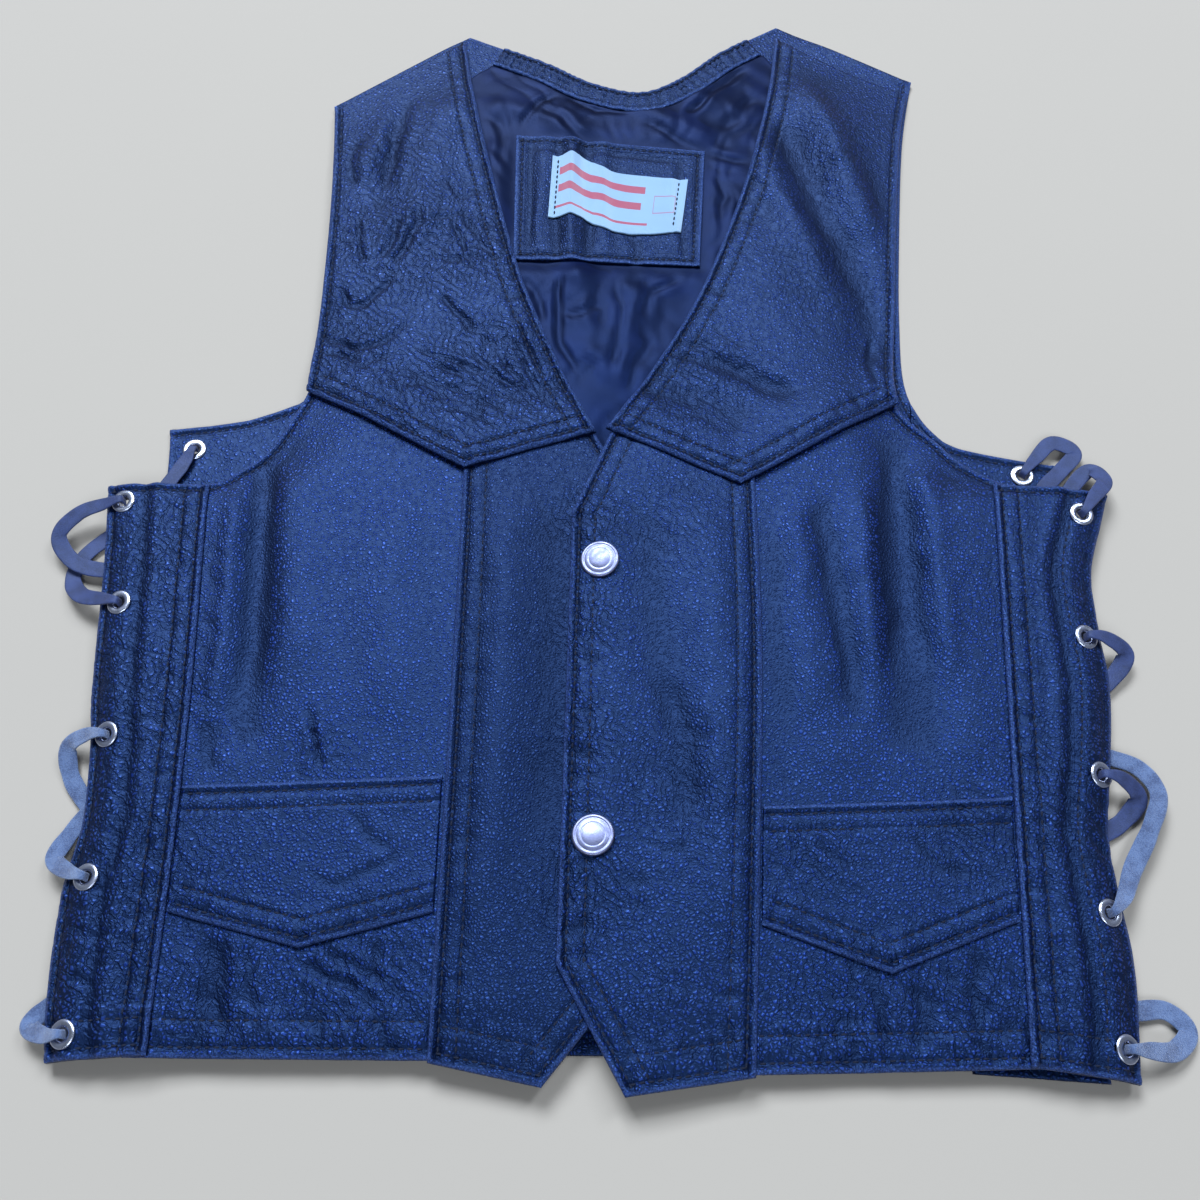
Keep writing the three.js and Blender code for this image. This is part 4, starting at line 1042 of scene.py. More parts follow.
def turned(name: str, profile: Rows, sides: int, height: Height, at: Spot, sharp: float) -> Object:
    """Turns a closed outline about the way that a surface faces at a spot.

    Before it is set down, its places are (radius * cos, radius * sin, rise).

    Args:
        name: The piece's name.
        profile: Radius and rise of each point, anticlockwise with the axis on the left.
        sides: How many steps round.
        height: The surface.
        at: The spot's x and y.
        sharp: Edges bent more than this many degrees stay sharp.

    Returns:
        The piece.
    """
    p = np.asarray(profile, float)
    angle = np.arange(sides) * 2 * math.pi / sides
    ring = np.stack([np.cos(angle), np.sin(angle)], 1)
    rise = np.broadcast_to(p[None, :, 1:], (sides, len(p), 1))
    places = np.concatenate([p[None, :, :1] * ring[:, None], rise], -1).reshape(-1, 3)
    places = places @ turned_to(facing(height, *at)).T + spot_on(height, *at)
    return to_mesh(name, places, [tube_faces(sides + 1, len(p))[:, ::-1] % len(places)], sharp)


def spot_on(height: Height, x: float, y: float) -> Grid:
    """The place of a surface over x and y."""
    return np.array([x, y, float(height(np.array([x]), np.array([y]))[0])])


def facing(height: Height, x: float, y: float) -> Grid:
    """The unit vector square to a surface at a place, from its slopes over 4 mm.

    Args:
        height: The surface.
        x: Distances to the right, in mm.
        y: Distances towards the collar, in mm.

    Returns:
        The normal.
    """
    step = 2.0
    z = height(x + step * np.array([1, -1, 0, 0]), y + step * np.array([0, 0, 1, -1]))
    normal = np.array([(z[1] - z[0]) / (2 * step), (z[3] - z[2]) / (2 * step), 1.0])
    return normal / np.linalg.norm(normal)


def turned_to(normal: Grid) -> Grid:
    """A rotation that takes Z to a normal: its columns are two level-ish axes and the normal."""
    side = np.cross([0.0, 1.0, 0.0], normal)
    side /= np.linalg.norm(side)
    return np.stack([side, np.cross(normal, side), normal], 1)


# Sewn edges and stitches


@dataclass(frozen=True)
class Seam:
    """A sewn edge: the line of the edge, its stitch rows and the swell of its turned-in leather."""

    edge: Edge
    rows: tuple[float, ...] = STITCH_ROWS
    bead: float = 0.7
    pucker: float = 0.4

    def usual(self, distance: Grid) -> Grid:
        """The distance as it would be on a seam with the usual rows, or FAR past the last row.

        Args:
            distance: How far from the seam, in mm.

        Returns:
            The height, in mm.
        """
        rows = STITCH_ROWS[: len(self.rows)]
        marks = (0.0, *self.rows, max(self.rows, default=0.0) + 3.5)
        values = (0.0, *rows, max(rows, default=0.0) + 3.5)
        return np.where(distance < marks[-1], np.interp(distance, marks, values), FAR)

    def relief(self, x: Grid, y: Grid, distance: Grid, run: Grid) -> Grid:
        """The edge's relief: a bead at 1.9 mm, a furrow under each row and puckers between them.

        Args:
            x: Distances to the right, in mm.
            y: Distances towards the collar, in mm.
            distance: How far from the seam, in mm.
            run: How far along the seam, in mm.

        Returns:
            The height, in mm.
        """
        height = 1.25 * self.bead * np.exp(-(((distance - 1.7) / 1.3) ** 2))
        for row in self.rows:
            height = height - 0.5 * np.exp(-(((distance - row) / 1.0) ** 2))
        if len(self.rows) > 1:
            height = height + 0.35 * self.bead * np.exp(-(((distance - sum(self.rows) / 2) / 2.2) ** 2))
        reach = self.rows[-1] if self.rows else 5.0
        band = ease((distance - 1) / 2) * (1 - ease((distance - reach - 1) / 6))
        wave = Noise(3.4, 21).at(run, distance * 0.3) + 0.7 * Noise(7.0, 22).at(run, distance * 0.25)
        return height + self.pucker * band * (wave + 0.3)


@dataclass
class Stitches:
    """Rows of thread, each stitch a small rounded bar lying along its row."""

    length: float = 2.7
    width: float = 1.05
    height: float = 0.7
    around: int = 6
    rings: int = 4

    def bar(self) -> tuple[Grid, Grid]:
        """One stitch: a bar whose radius at share s is the root of 1 - (2 s - 1) to the fourth.

        Returns:
            Its places and its faces.
        """
        share = np.linspace(0.02, 0.98, self.rings)
        radius = np.sqrt(1 - (2 * share - 1) ** 4)
        angle = np.arange(self.around) * 2 * math.pi / self.around
        x = np.repeat((share - 0.5) * self.length, self.around)
        y = (radius[:, None] * np.cos(angle)).ravel() * self.width / 2
        z = (radius[:, None] * np.sin(angle)).ravel() * self.height / 2
        places = np.stack([x, y, z], 1)
        return places, tube_faces(self.rings, self.around)

    def place(self, name: str, paths: Sequence[Grid], surface: Height) -> Object | None:
        """Lays stitches along paths on a surface.

        Args:
            name: The piece's name.
            paths: Centres and directions, each of shape (n, 4): x, y, dx, dy.
            surface: The height of the cloth at a place.

        Returns:
            The stitches' object, or None if there are no stitches.
        """
        rows = np.concatenate(paths) if paths else np.zeros((0, 4))
        if not len(rows):
            return None
        x, y, dx, dy = rows.T
        reach = self.length / 2
        ahead = surface(x + dx * reach, y + dy * reach)
        behind = surface(x - dx * reach, y - dy * reach)
        middle = surface(x, y)
        along = np.stack([dx, dy, (ahead - behind) / self.length], 1)
        along /= np.linalg.norm(along, axis=1, keepdims=True)
        side = np.stack([-dy, dx, np.zeros_like(dx)], 1)
        up = np.cross(along, side)
        centre = np.stack([x, y, np.maximum(middle, (ahead + behind) / 2) + 0.08], 1)
        places, faces = self.bar()
        all_places = (
            centre[:, None]
            + places[None, :, :1] * along[:, None]
            + places[None, :, 1:2] * side[:, None]
            + places[None, :, 2:] * up[:, None]
        ).reshape(-1, 3)
        start = np.arange(len(rows))[:, None, None] * len(places)
        quads = (faces[None] + start).reshape(-1, 4)
        ring = np.arange(self.around)[None] + start[:, 0]
        return to_mesh(name, all_places, [quads, ring[:, ::-1], ring + (self.rings - 1) * self.around])


def stitch_path(line: Grid, offset: float, inward: float, pitch: float) -> Grid:
    """Moves a line inward and marks the stitches on it.

    Args:
        line: Places on the edge.
        offset: How far in the row lies.
        inward: 1 if the cloth is to the left of the line's way, -1 if to its right.
        pitch: From one stitch to the next.

    Returns:
        Centres and directions, of shape (n, 4).
    """
    along = np.gradient(line, axis=0)
    along /= np.linalg.norm(along, axis=1, keepdims=True)
    moved = line + offset * inward * np.stack([-along[:, 1], along[:, 0]], 1)
    clear = nearest_on(line, moved[:, 0], moved[:, 1])[0] > offset - 0.15
    moved = moved[clear]
    if len(moved) < 3:
        return np.zeros((0, 4))
    length = np.concatenate([[0], np.hypot(*np.diff(moved, axis=0).T).cumsum()])
    at = np.arange(pitch, length[-1] - pitch / 2, pitch)
    here, ahead = (
        np.stack([np.interp(at + more, length, moved[:, axis]) for axis in (0, 1)], 1) for more in (0, 0.5)
    )
    way = ahead - here
    way /= np.linalg.norm(way, axis=1, keepdims=True) + 1e-9
    return np.concatenate([here, way], 1)


# Cloth pieces


@dataclass
class Cloth:
    """A cut piece of leather or cloth, laid over what is under it."""

    node: str
    cut: Cut
    low: Height
    thickness: float
    finish: Finish
    seams: tuple[Seam, ...] = ()
    covers: tuple[Grid, ...] = ()
    holes: Rows = ()
    stops: tuple[int, int] = (1, 1)
    round_edge: float = 1.0
    held: str = "laid"
    rests_on: tuple[str, ...] = ()
    ripple: Height | None = None
    flat: tuple[float, float] | None = None
    pitch: float = 2.0
    shown: float = 1.0
    label: bool = False

    def shares(self, length: float, stops: int) -> Grid:
        """Grid lines: even ones that meet the corners' stops, and closer ones near both edges."""
        even = np.linspace(0, 1, stops * max(1, round(length / self.pitch / stops)) + 1)
        close = np.array(CLOSE_LINES) / length
        return np.unique(np.concatenate([even, close, 1 - close]))

    def seam_fields(self, x: Grid, y: Grid) -> list[tuple[Seam, Grid, Grid]]:
        """Each seam with its distance and run at every place."""
        return [(seam, *nearest_on(seam.edge.line(4.0), x, y)) for seam in self.seams]

    def top(self, x: Grid, y: Grid) -> Grid:
        """The upper face: the underside, the thickness and the seams' relief, rounded at the rim.

        Under what covers the piece the seams don't swell.

        Args:
            x: Distances to the right, in mm.
            y: Distances towards the collar, in mm.

        Returns:
            The height, in mm.
        """
        relief = np.zeros(np.shape(x))
        for seam, distance, run in self.seam_fields(x, y):
            relief = relief + seam.relief(x, y, distance, run)
        for cover in self.covers:
            relief = np.where(inside(cover, x, y), np.minimum(relief, 0), relief)
        low = self.low(x, y)
        z = low + self.thickness + relief
        if self.ripple is not None:
            z = z + self.ripple(x, y)
        rim, _ = nearest_on(np.vstack([self.border, self.border[:1]]), x, y)
        share = np.clip(1 - rim / self.round_edge, 0, 1)
        z = z - 0.75 * self.round_edge * (1 - np.sqrt(1 - share * share))
        return np.maximum(z, low + LEAST_WALL)

    def build(self) -> Object:
        """Builds the piece's wall with its UV map and the distance to its sewn edges.

        Returns:
            The piece.
        """
        self.border = self.cut.outline()[::2]
        edges = self.cut.top, self.cut.bottom, self.cut.left, self.cut.right
        rough = [np.hypot(*np.diff(edge.line(), axis=0).T).sum() for edge in edges]
        u = self.shares(max(rough[:2]), self.stops[0])
        v = self.shares(max(rough[2:]), self.stops[1])
        v = np.unique(np.concatenate([v[v < self.shown], v[v >= self.shown][::4], [1.0]]))
        x, y = self.cut.at(u, v)
        low, high = self.low(x, y), self.top(x, y)
        cx = (x[1:, 1:] + x[:-1, :-1]) / 2
        cy = (y[1:, 1:] + y[:-1, :-1]) / 2
        open_cells = np.zeros(cx.shape, bool)
        for hx, hy in self.holes:
            open_cells |= np.hypot(cx - hx, cy - hy) < Eyelet.barrel + 0.9
        piece = wall(f"{self.node}_cloth", x, y, low, high, open_cells)
        write_uv(piece, *(np.tile(share.ravel(), 2) for share in self.spread_out(x, y)))
        edge, row = np.full(x.shape, FAR), np.full(x.shape, FAR)
        for seam, distance, _ in self.seam_fields(x, y):
            edge = np.minimum(edge, distance)
            row = np.minimum(row, seam.usual(distance))
        # hollow_mm is the mask by which the hide and satin paint shade into hollows and creases.
        fields = {"edge_mm": edge, "row_mm": row, "hollow_mm": hollows(high), "crumpled": crumpled(x, y)}
        for name, values in fields.items():
            under = FAR if name in ("edge_mm", "row_mm") else 0.0
            write_number(piece, name, np.concatenate([values.ravel(), np.full(values.size, under)]))
        dress(piece, self.finish, self.node)
        self.declare()
        return piece

    def spread_out(self, x: Grid, y: Grid) -> tuple[Grid, Grid]:
        """The UV map: 1 for each 100 mm, or a label's shares from side to side and from foot to top.

        Args:
            x: Distances to the right, in mm.
            y: Distances towards the collar, in mm.

        Returns:
            Both shares.
        """
        if not self.label:
            return x / 100, y / 100
        edges = self.cut.left, self.cut.right, self.cut.bottom, self.cut.top
        left, right, bottom, top = (nearest_on(edge.line(), x, y)[0] for edge in edges)
        return left / (left + right), bottom / (top + bottom)

    def declare(self) -> None:
        """Works out the piece's flat size and area, which nothing further uses.
        """
        width, length = np.array(self.flat or np.ptp(self.border, axis=0)) * MM
        a, b = self.border, np.roll(self.border, -1, axis=0)
        area = abs((a[:, 0] * b[:, 1] - b[:, 0] * a[:, 1]).sum()) / 2 * MM * MM
        area = min(area, width * length)
        list(self.rests_on)

    def sew(self) -> Object | None:
        """Lays the stitches of every seam where nothing covers them.

        Returns:
            The stitches, if any show.
        """
        paths = []
        for seam in self.seams:
            line = seam.edge.line(1.0)
            middle = line[len(line) // 2]
            ahead = line[len(line) // 2 + 1] - middle
            probe = middle + 3 * np.array([-ahead[1], ahead[0]]) / np.hypot(*ahead)
            inward = 1.0 if inside(self.border, probe[:1], probe[1:])[0] else -1.0
            for row in seam.rows:
                path = stitch_path(line, row, inward, STITCH_PITCH)
                shown = inside(self.border, path[:, 0], path[:, 1])
                closed = np.vstack([self.border, self.border[:1]])
                shown &= nearest_on(closed, path[:, 0], path[:, 1])[0] > 2.5
                for cover in self.covers:
                    shown &= ~inside(cover, path[:, 0], path[:, 1])
                for hx, hy in self.holes:
                    shown &= np.hypot(path[:, 0] - hx, path[:, 1] - hy) > Eyelet.flange + 1.2
                paths.append(path[shown])
        piece = Stitches().place(f"{self.node}_stitches", paths, self.top)
        if piece is not None:
            dress(piece, Finish.THREAD)
        return piece


# Finishes


class Shader:
    """A material under construction, with short calls for its nodes.

    Its textures read object coordinates, unless values name another vector.
    """

    def __init__(self, name: str) -> None:
        """Starts a material with a Principled shader.

        Args:
            name: Its name.
        """
        self.material = bpy.data.materials.new(name)
        self.material.use_nodes = True
        self.tree = self.material.node_tree
        self.shader = self.tree.nodes["Principled BSDF"]
        self.here = self.place()

    def node(self, kind: str, *terms: object, **values: object) -> bpy.types.Node:
        """Adds a node.

        Args:
            kind: Its type, without the word that all of them start with.
            terms: What its first sockets take.
            values: What the socket of each name takes, or the property if no socket has the name.

        Returns:
            The node.
        """
        node = self.tree.nodes.new("ShaderNode" + kind)
        for key, value in values.items():
            label = key.replace("_", " ").title()
            if label in node.inputs:
                self.feed(node.inputs[label], value)
            else:
                setattr(node, key, value)
        for socket, term in zip(node.inputs, terms):
            self.feed(socket, term)
        return node

    def feed(self, socket: Socket, value: object) -> None:
        """Links an output to a socket, or sets the socket's own value, with colours made opaque.

        Args:
            socket: The socket.
            value: An output or a value.
        """
        if isinstance(value, Socket):
            self.tree.links.new(value, socket)
        elif socket.type == "RGBA":
            socket.default_value = (*value, 1.0)
        else:
            socket.default_value = value

    def math(self, kind: str, *terms: object) -> Socket:
        """Adds a Math node and returns its result."""
        return self.node("Math", *terms, operation=kind).outputs[0]

    def spread(self, value: object, *ends: float) -> Socket:
        """Maps a value from one range, the first two ends, to another with a soft step."""
        return self.node("MapRange", value, *ends, interpolation_type="SMOOTHSTEP").outputs[0]

    def mix(self, share: object, first: object, second: object) -> Socket:
        """Mixes two colours.

        Args:
            share: How much of the second colour.
            first: The colour at 0.
            second: The colour at 1.

        Returns:
            The mix's colour.
        """
        node = self.node("Mix", share, data_type="RGBA")
        for socket, term in zip([socket for socket in node.inputs if socket.type == "RGBA"], (first, second)):
            self.feed(socket, term)
        return next(socket for socket in node.outputs if socket.type == "RGBA")

    def noise(self, scale: float, detail: float, **values: object) -> Socket:
        """A noise's grey value."""
        values = {"vector": self.here, "scale": scale, "detail": detail} | values
        return self.node("TexNoise", **values).outputs["Fac"]

    def wave(self, scale: float, **values: object) -> Socket:
        """A band texture's grey value."""
        return self.node("TexWave", **({"vector": self.here, "scale": scale} | values)).outputs["Fac"]

    def number(self, name: str) -> Socket:
        """A number that the mesh carries."""
        return self.node("Attribute", attribute_name=name).outputs["Fac"]

    def bump(self, height: object, distance: float, strength: float = 1.0) -> Socket:
        """Adds a bump: a height of 0 to 1 times a distance in metres."""
        return self.node("Bump", strength=strength, distance=distance, height=height).outputs[0]

    def place(self, **values: object) -> Socket:
        """Object coordinates, scaled or turned."""
        return self.node("Mapping", vector=self.node("TexCoord").outputs["Object"], **values).outputs[0]

    def set(self, **values: object) -> None:
        """Sets sockets of the Principled shader by name."""
        for key, value in values.items():
            self.feed(self.shader.inputs[key.replace("_", " ")], value)


@dataclass(frozen=True)
class Hide:
    """Pebbled leather with a bluish gloss, and painted shade in its valleys, creases and stitch furrows."""

    colour: Colour = (0.004, 0.013, 0.11)
    # Painted shade for pebble valleys, hollows, creases and stitch furrows.
    valley: Colour = (0.0003, 0.001, 0.007)
    # Paler colour: partly wear, partly a painted sheen.
    wear_and_painted_sheen: Colour = (0.018, 0.042, 0.18)
    # Paler along sewn edges: partly edge wear, partly a painted highlight on the bead.
    edge_wear_and_painted_highlight: Colour = (0.045, 0.085, 0.27)
    tint: Colour = (0.14, 0.33, 1.0)
    pebble_mm: float = 1.8
    pebble: float = 0.72
    crack: float = 1.0
    roughness: float = 0.3
    bump: float = 0.00031
    gloss: float = 0.65

    def pebbles(self, s: Shader) -> Socket:
        """Rounded cells, bent by a fine noise: 0 in the valleys between them, 1 on their tops.

        Args:
            s: The material under construction.

        Returns:
            The grey value.
        """
        drift = s.node("TexNoise", vector=s.here, scale=260.0, detail=1.0).outputs["Color"]
        moved = s.node("VectorMath", drift, (0.002,) * 3, s.here, operation="MULTIPLY_ADD").outputs[0]
        cells = s.node("TexVoronoi", feature="DISTANCE_TO_EDGE", vector=moved, scale=1000 / self.pebble_mm)
        return s.spread(cells.outputs["Distance"], 0.0, 0.5, 0.0, 1.0)

    def lines(self, s: Shader, apart_mm: float, turn: float, weight: Socket) -> Socket:
        """Fine wrinkles that wander side by side: 1 along their bottoms, 0 between, times a weight.

        Args:
            s: The material under construction.
            apart_mm: Their distance, in mm.
            turn: Their turn, in degrees.
            weight: How deep they are.

        Returns:
            The grey value.
        """
        place = s.place(rotation=(0.0, 0.0, math.radians(turn)))
        scale = 2 * math.pi / (20 * apart_mm * MM)
        wave = s.wave(scale, vector=place, distortion=9.0, detail=3.0, detail_scale=1.7)
        return s.math("MULTIPLY", s.spread(wave, 0.0, 0.3, 1.0, 0.0), weight)

    def cracks(self, s: Shader) -> Socket:
        """Wrinkles in two ways, each in its own patches, and most where the hide is crumpled.

        Args:
            s: The material under construction.

        Returns:
            The grey value.
        """
        share = s.math("MULTIPLY", s.spread(s.number("crumpled"), 0.05, 0.7, 0.15, 1.0), self.crack)
        patchy = s.noise(75.0, 2.0)
        slant = self.lines(s, 4.6, -52.0, s.spread(patchy, 0.36, 0.6, 0.1, 1.0))
        upright = self.lines(s, 3.8, 8.0, s.spread(patchy, 0.4, 0.62, 1.0, 0.0))
        return s.math("MINIMUM", s.math("MULTIPLY", s.math("MAXIMUM", slant, upright), share), 1.0)

    def furrow(self, s: Shader) -> Socket:
        """1 along each stitch row, 0 away from it."""
        away = (s.math("ABSOLUTE", s.math("SUBTRACT", s.number("row_mm"), row)) for row in STITCH_ROWS)
        return s.math("MAXIMUM", *(s.spread(distance, 0.1, 1.3, 1.0, 0.0) for distance in away))

    def dress(self, s: Shader) -> None:
        """Fills in the material.

        Args:
            s: The material under construction.
        """
        pebbles, crack, furrow = self.pebbles(s), self.cracks(s), self.furrow(s)
        hollow = s.number("hollow_mm")
        height = s.math("MULTIPLY", pebbles, self.pebble)
        height = s.math("MULTIPLY_ADD", crack, -1.4, height)
        height = s.math("MULTIPLY_ADD", furrow, -0.45, height)
        top = s.math("MULTIPLY", pebbles, s.math("SUBTRACT", 1.0, crack))
        # Paler in broad random patches and on raised places: partly wear, partly a painted sheen.
        base = s.mix(s.spread(s.noise(24.0, 3.0), 0.35, 0.65, 0.0, 0.2), self.colour, self.wear_and_painted_sheen)
        base = s.mix(s.spread(hollow, -0.45, -0.05, 0.3, 0.0), base, self.wear_and_painted_sheen)
        # Painted shade: the colour goes towards near black in hollows and creases, in pebble valleys, and a
        # little in stitch furrows.
        painted_hollow_shade = s.spread(hollow, 0.0, 0.55, 0.0, 0.95)
        tone = s.mix(s.spread(top, 0.05, 0.8, 0.0, 1.0), self.valley, base)
        tone = s.mix(s.math("MAXIMUM", painted_hollow_shade, s.math("MULTIPLY", furrow, 0.12)), tone, self.valley)
        # Paler and speckled along sewn edges: partly edge wear, partly a painted highlight on the bead.
        rim = s.spread(s.number("edge_mm"), 0.5, 2.4, 0.6, 0.0)
        edge_wear_and_painted_highlight = s.math("MULTIPLY", rim, s.spread(s.noise(1500.0, 1.0), 0.4, 0.6, 0.3, 1.0))
        dull = s.math("MAXIMUM", s.math("SUBTRACT", 1.0, top), painted_hollow_shade)
        rough = s.spread(dull, 0.0, 1.0, self.roughness, self.roughness + 0.22)
        s.set(Base_Color=s.mix(edge_wear_and_painted_highlight, tone, self.edge_wear_and_painted_highlight), Roughness=rough, Normal=s.bump(height, self.bump))
        s.set(Specular_IOR_Level=self.gloss, Specular_Tint=self.tint)


@dataclass(frozen=True)
class Satin:
    """Thin shiny lining cloth with a fine twill, and painted shade in its creases."""

    colour: Colour = (0.0004, 0.0014, 0.01)
    light: Colour = (0.0015, 0.004, 0.026)
    # Painted shade for the lining's hollows and creases.
    fold: Colour = (0.0004, 0.001, 0.007)
    tint: Colour = (0.08, 0.25, 1.0)

    def dress(self, s: Shader) -> None:
        """Fills in the material.

        Args:
            s: The material under construction.
        """
        place = s.place(scale=(1, 1.6, 1))
        twill = s.wave(900.0, vector=place, distortion=0.4, detail=1.0, bands_direction="DIAGONAL")
        tone = s.mix(s.spread(s.noise(45.0, 4.0), 0.38, 0.68, 0.0, 1.0), self.colour, self.light)
        # Painted shade: darker in hollows and creases.
        tone = s.mix(s.spread(s.number("hollow_mm"), 0.0, 0.4, 0.0, 0.85), tone, self.fold)
        rough = s.spread(twill, 0.0, 1.0, 0.4, 0.5)
        s.set(Base_Color=tone, Roughness=rough, Normal=s.bump(twill, 0.00002, 0.5))
        s.set(Specular_IOR_Level=0.22, Specular_Tint=self.tint)


@dataclass(frozen=True)
class Tape:
    """A woven label: pale satin with plain red bars and an empty box, on its own UV map."""

    cloth: Colour = (0.225, 0.38, 0.6)
    soiled: Colour = (0.17, 0.28, 0.46)
    ink: Colour = (0.34, 0.012, 0.05)
    bars: tuple[Box, ...] = ((0.06, 0.68, 0.7, 0.8), (0.06, 0.4, 0.68, 0.52), (0.04, 0.14, 0.74, 0.18))
    frame: tuple[Box, Box] = ((0.77, 0.34, 0.93, 0.66), (0.775, 0.36, 0.925, 0.64))

    def bar(self, s: Shader, box: Box) -> Socket:
        """A filled rectangle: 1 where both shares lie between its sides, else 0.

        Args:
            s: The material under construction.
            box: Left, lower, right and upper side, as shares.

        Returns:
            1 or 0.
        """
        u, v, _ = s.node("SeparateXYZ", s.node("UVMap", uv_map="cloth").outputs[0]).outputs
        low = s.math("MULTIPLY", s.math("GREATER_THAN", u, box[0]), s.math("GREATER_THAN", v, box[1]))
        high = s.math("MULTIPLY", s.math("LESS_THAN", u, box[2]), s.math("LESS_THAN", v, box[3]))
        return s.math("MULTIPLY", low, high)

    def dress(self, s: Shader) -> None:
        """Fills in the material.

        Args:
            s: The material under construction.
        """
        first, second, third = (self.bar(s, box) for box in self.bars)
        outline = s.math("SUBTRACT", *(self.bar(s, box) for box in self.frame))
        ink = s.math("MAXIMUM", s.math("MAXIMUM", first, second), third)
        ink = s.math("MAXIMUM", ink, s.math("MULTIPLY", outline, 0.6))
        weave = s.wave(1400.0, vector=s.place(scale=(1, 3, 1)), distortion=0.2)
        faded = s.math("MULTIPLY", ink, s.spread(weave, 0.0, 1.0, 0.75, 0.95))
        cloth = s.mix(s.spread(s.noise(60.0, 4.0), 0.4, 0.75, 0.0, 0.25), self.cloth, self.soiled)
        s.set(Base_Color=s.mix(faded, cloth, self.ink), Roughness=0.5, Normal=s.bump(weave, 0.0002, 0.5))
        s.set(Sheen_Weight=0.1)


@dataclass(frozen=True)
class Thread:
    """Twisted sewing thread: fine slanting plies."""

    colour: Colour = (0.001, 0.002, 0.009)
    light: Colour = (0.002, 0.005, 0.025)
    tint: Colour = (0.62, 0.74, 1.0)

    def dress(self, s: Shader) -> None:
        """Fills in the material."""
        ply = s.wave(1500.0, distortion=0.5, bands_direction="DIAGONAL")
        s.set(Base_Color=s.mix(ply, self.colour, self.light), Roughness=0.7, Normal=s.bump(ply, 0.0002, 0.6))
        s.set(Specular_Tint=self.tint)


@dataclass(frozen=True)
class Suede:
    """Flat lace leather, napped on its rough side."""

    colour: Colour
    dark: Colour
    nap: float
    roughness: float
    tint: Colour = (0.62, 0.74, 1.0)

    def dress(self, s: Shader) -> None:
        """Fills in the material.

        Args:
            s: The material under construction.
        """
        fibre = s.noise(1500.0, 5.0, roughness=0.7)
        share = s.math("MULTIPLY_ADD", fibre, 0.6, s.math("MULTIPLY", s.noise(160.0, 3.0), 0.4))
        tone = s.mix(s.spread(share, 0.36, 0.62, 0.0, 1.0), self.dark, self.colour)
        s.set(Base_Color=tone, Roughness=self.roughness, Normal=s.bump(fibre, 0.0008, self.nap))
        s.set(Sheen_Weight=0.35 * self.nap, Specular_Tint=self.tint)


@dataclass(frozen=True)
class Nickel:
    """Bright plate with fine scuffs and slight clouding."""

    colour: Colour = (0.5, 0.54, 0.7)
    dull: Colour = (0.24, 0.27, 0.42)
    roughness: float = 0.24

    def dress(self, s: Shader) -> None:
        """Fills in the material.

        Args:
            s: The material under construction.
        """
        cloud = s.noise(260.0, 4.0)
        scuff = s.noise(900.0, 3.0, vector=s.place(scale=(1, 7, 1)))
        tone = s.mix(s.spread(cloud, 0.4, 0.7, 0.0, 0.5), self.colour, self.dull)
        rough = s.spread(cloud, 0.3, 0.7, self.roughness, self.roughness + 0.15)
        s.set(Base_Color=tone, Roughness=rough, Normal=s.bump(scuff, 0.0001, 0.25), Metallic=1.0)


LOOKS = {
    Finish.HIDE: Hide(),
    # Paler than the plain hide: a painted sheen on the side fronts.
    Finish.FINE_HIDE: Hide((0.006, 0.02, 0.16), pebble_mm=1.75, crack=0.8),
    # Darker than the plain hide: a painted shade on pieces that lie under or among other layers.
    Finish.DARK_HIDE: Hide((0.003, 0.01, 0.065), pebble_mm=1.6, crack=0.8, gloss=0.55),
    Finish.CREASED_HIDE: Hide((0.003, 0.011, 0.095), pebble_mm=2.1, crack=1.3),
    Finish.THREAD: Thread(),
    Finish.SATIN: Satin(),
    Finish.TAPE: Tape(),
    Finish.LACE_GRAIN: Suede((0.02, 0.035, 0.13), (0.007, 0.014, 0.06), 0.35, 0.55),
    Finish.LACE_SUEDE: Suede((0.1, 0.16, 0.33), (0.03, 0.055, 0.15), 1.0, 0.95),
    Finish.NICKEL: Nickel(),
    Finish.CAP_NICKEL: Nickel((0.19, 0.21, 0.36), (0.1, 0.115, 0.22), 0.36),
}
MATERIALS: dict[Finish, bpy.types.Material] = {}


def make_finishes() -> None:
    """Makes every finish once."""
    for finish, look in LOOKS.items():
        shader = Shader(finish.value[0])
        look.dress(shader)
        MATERIALS[finish] = shader.material


# Hardware


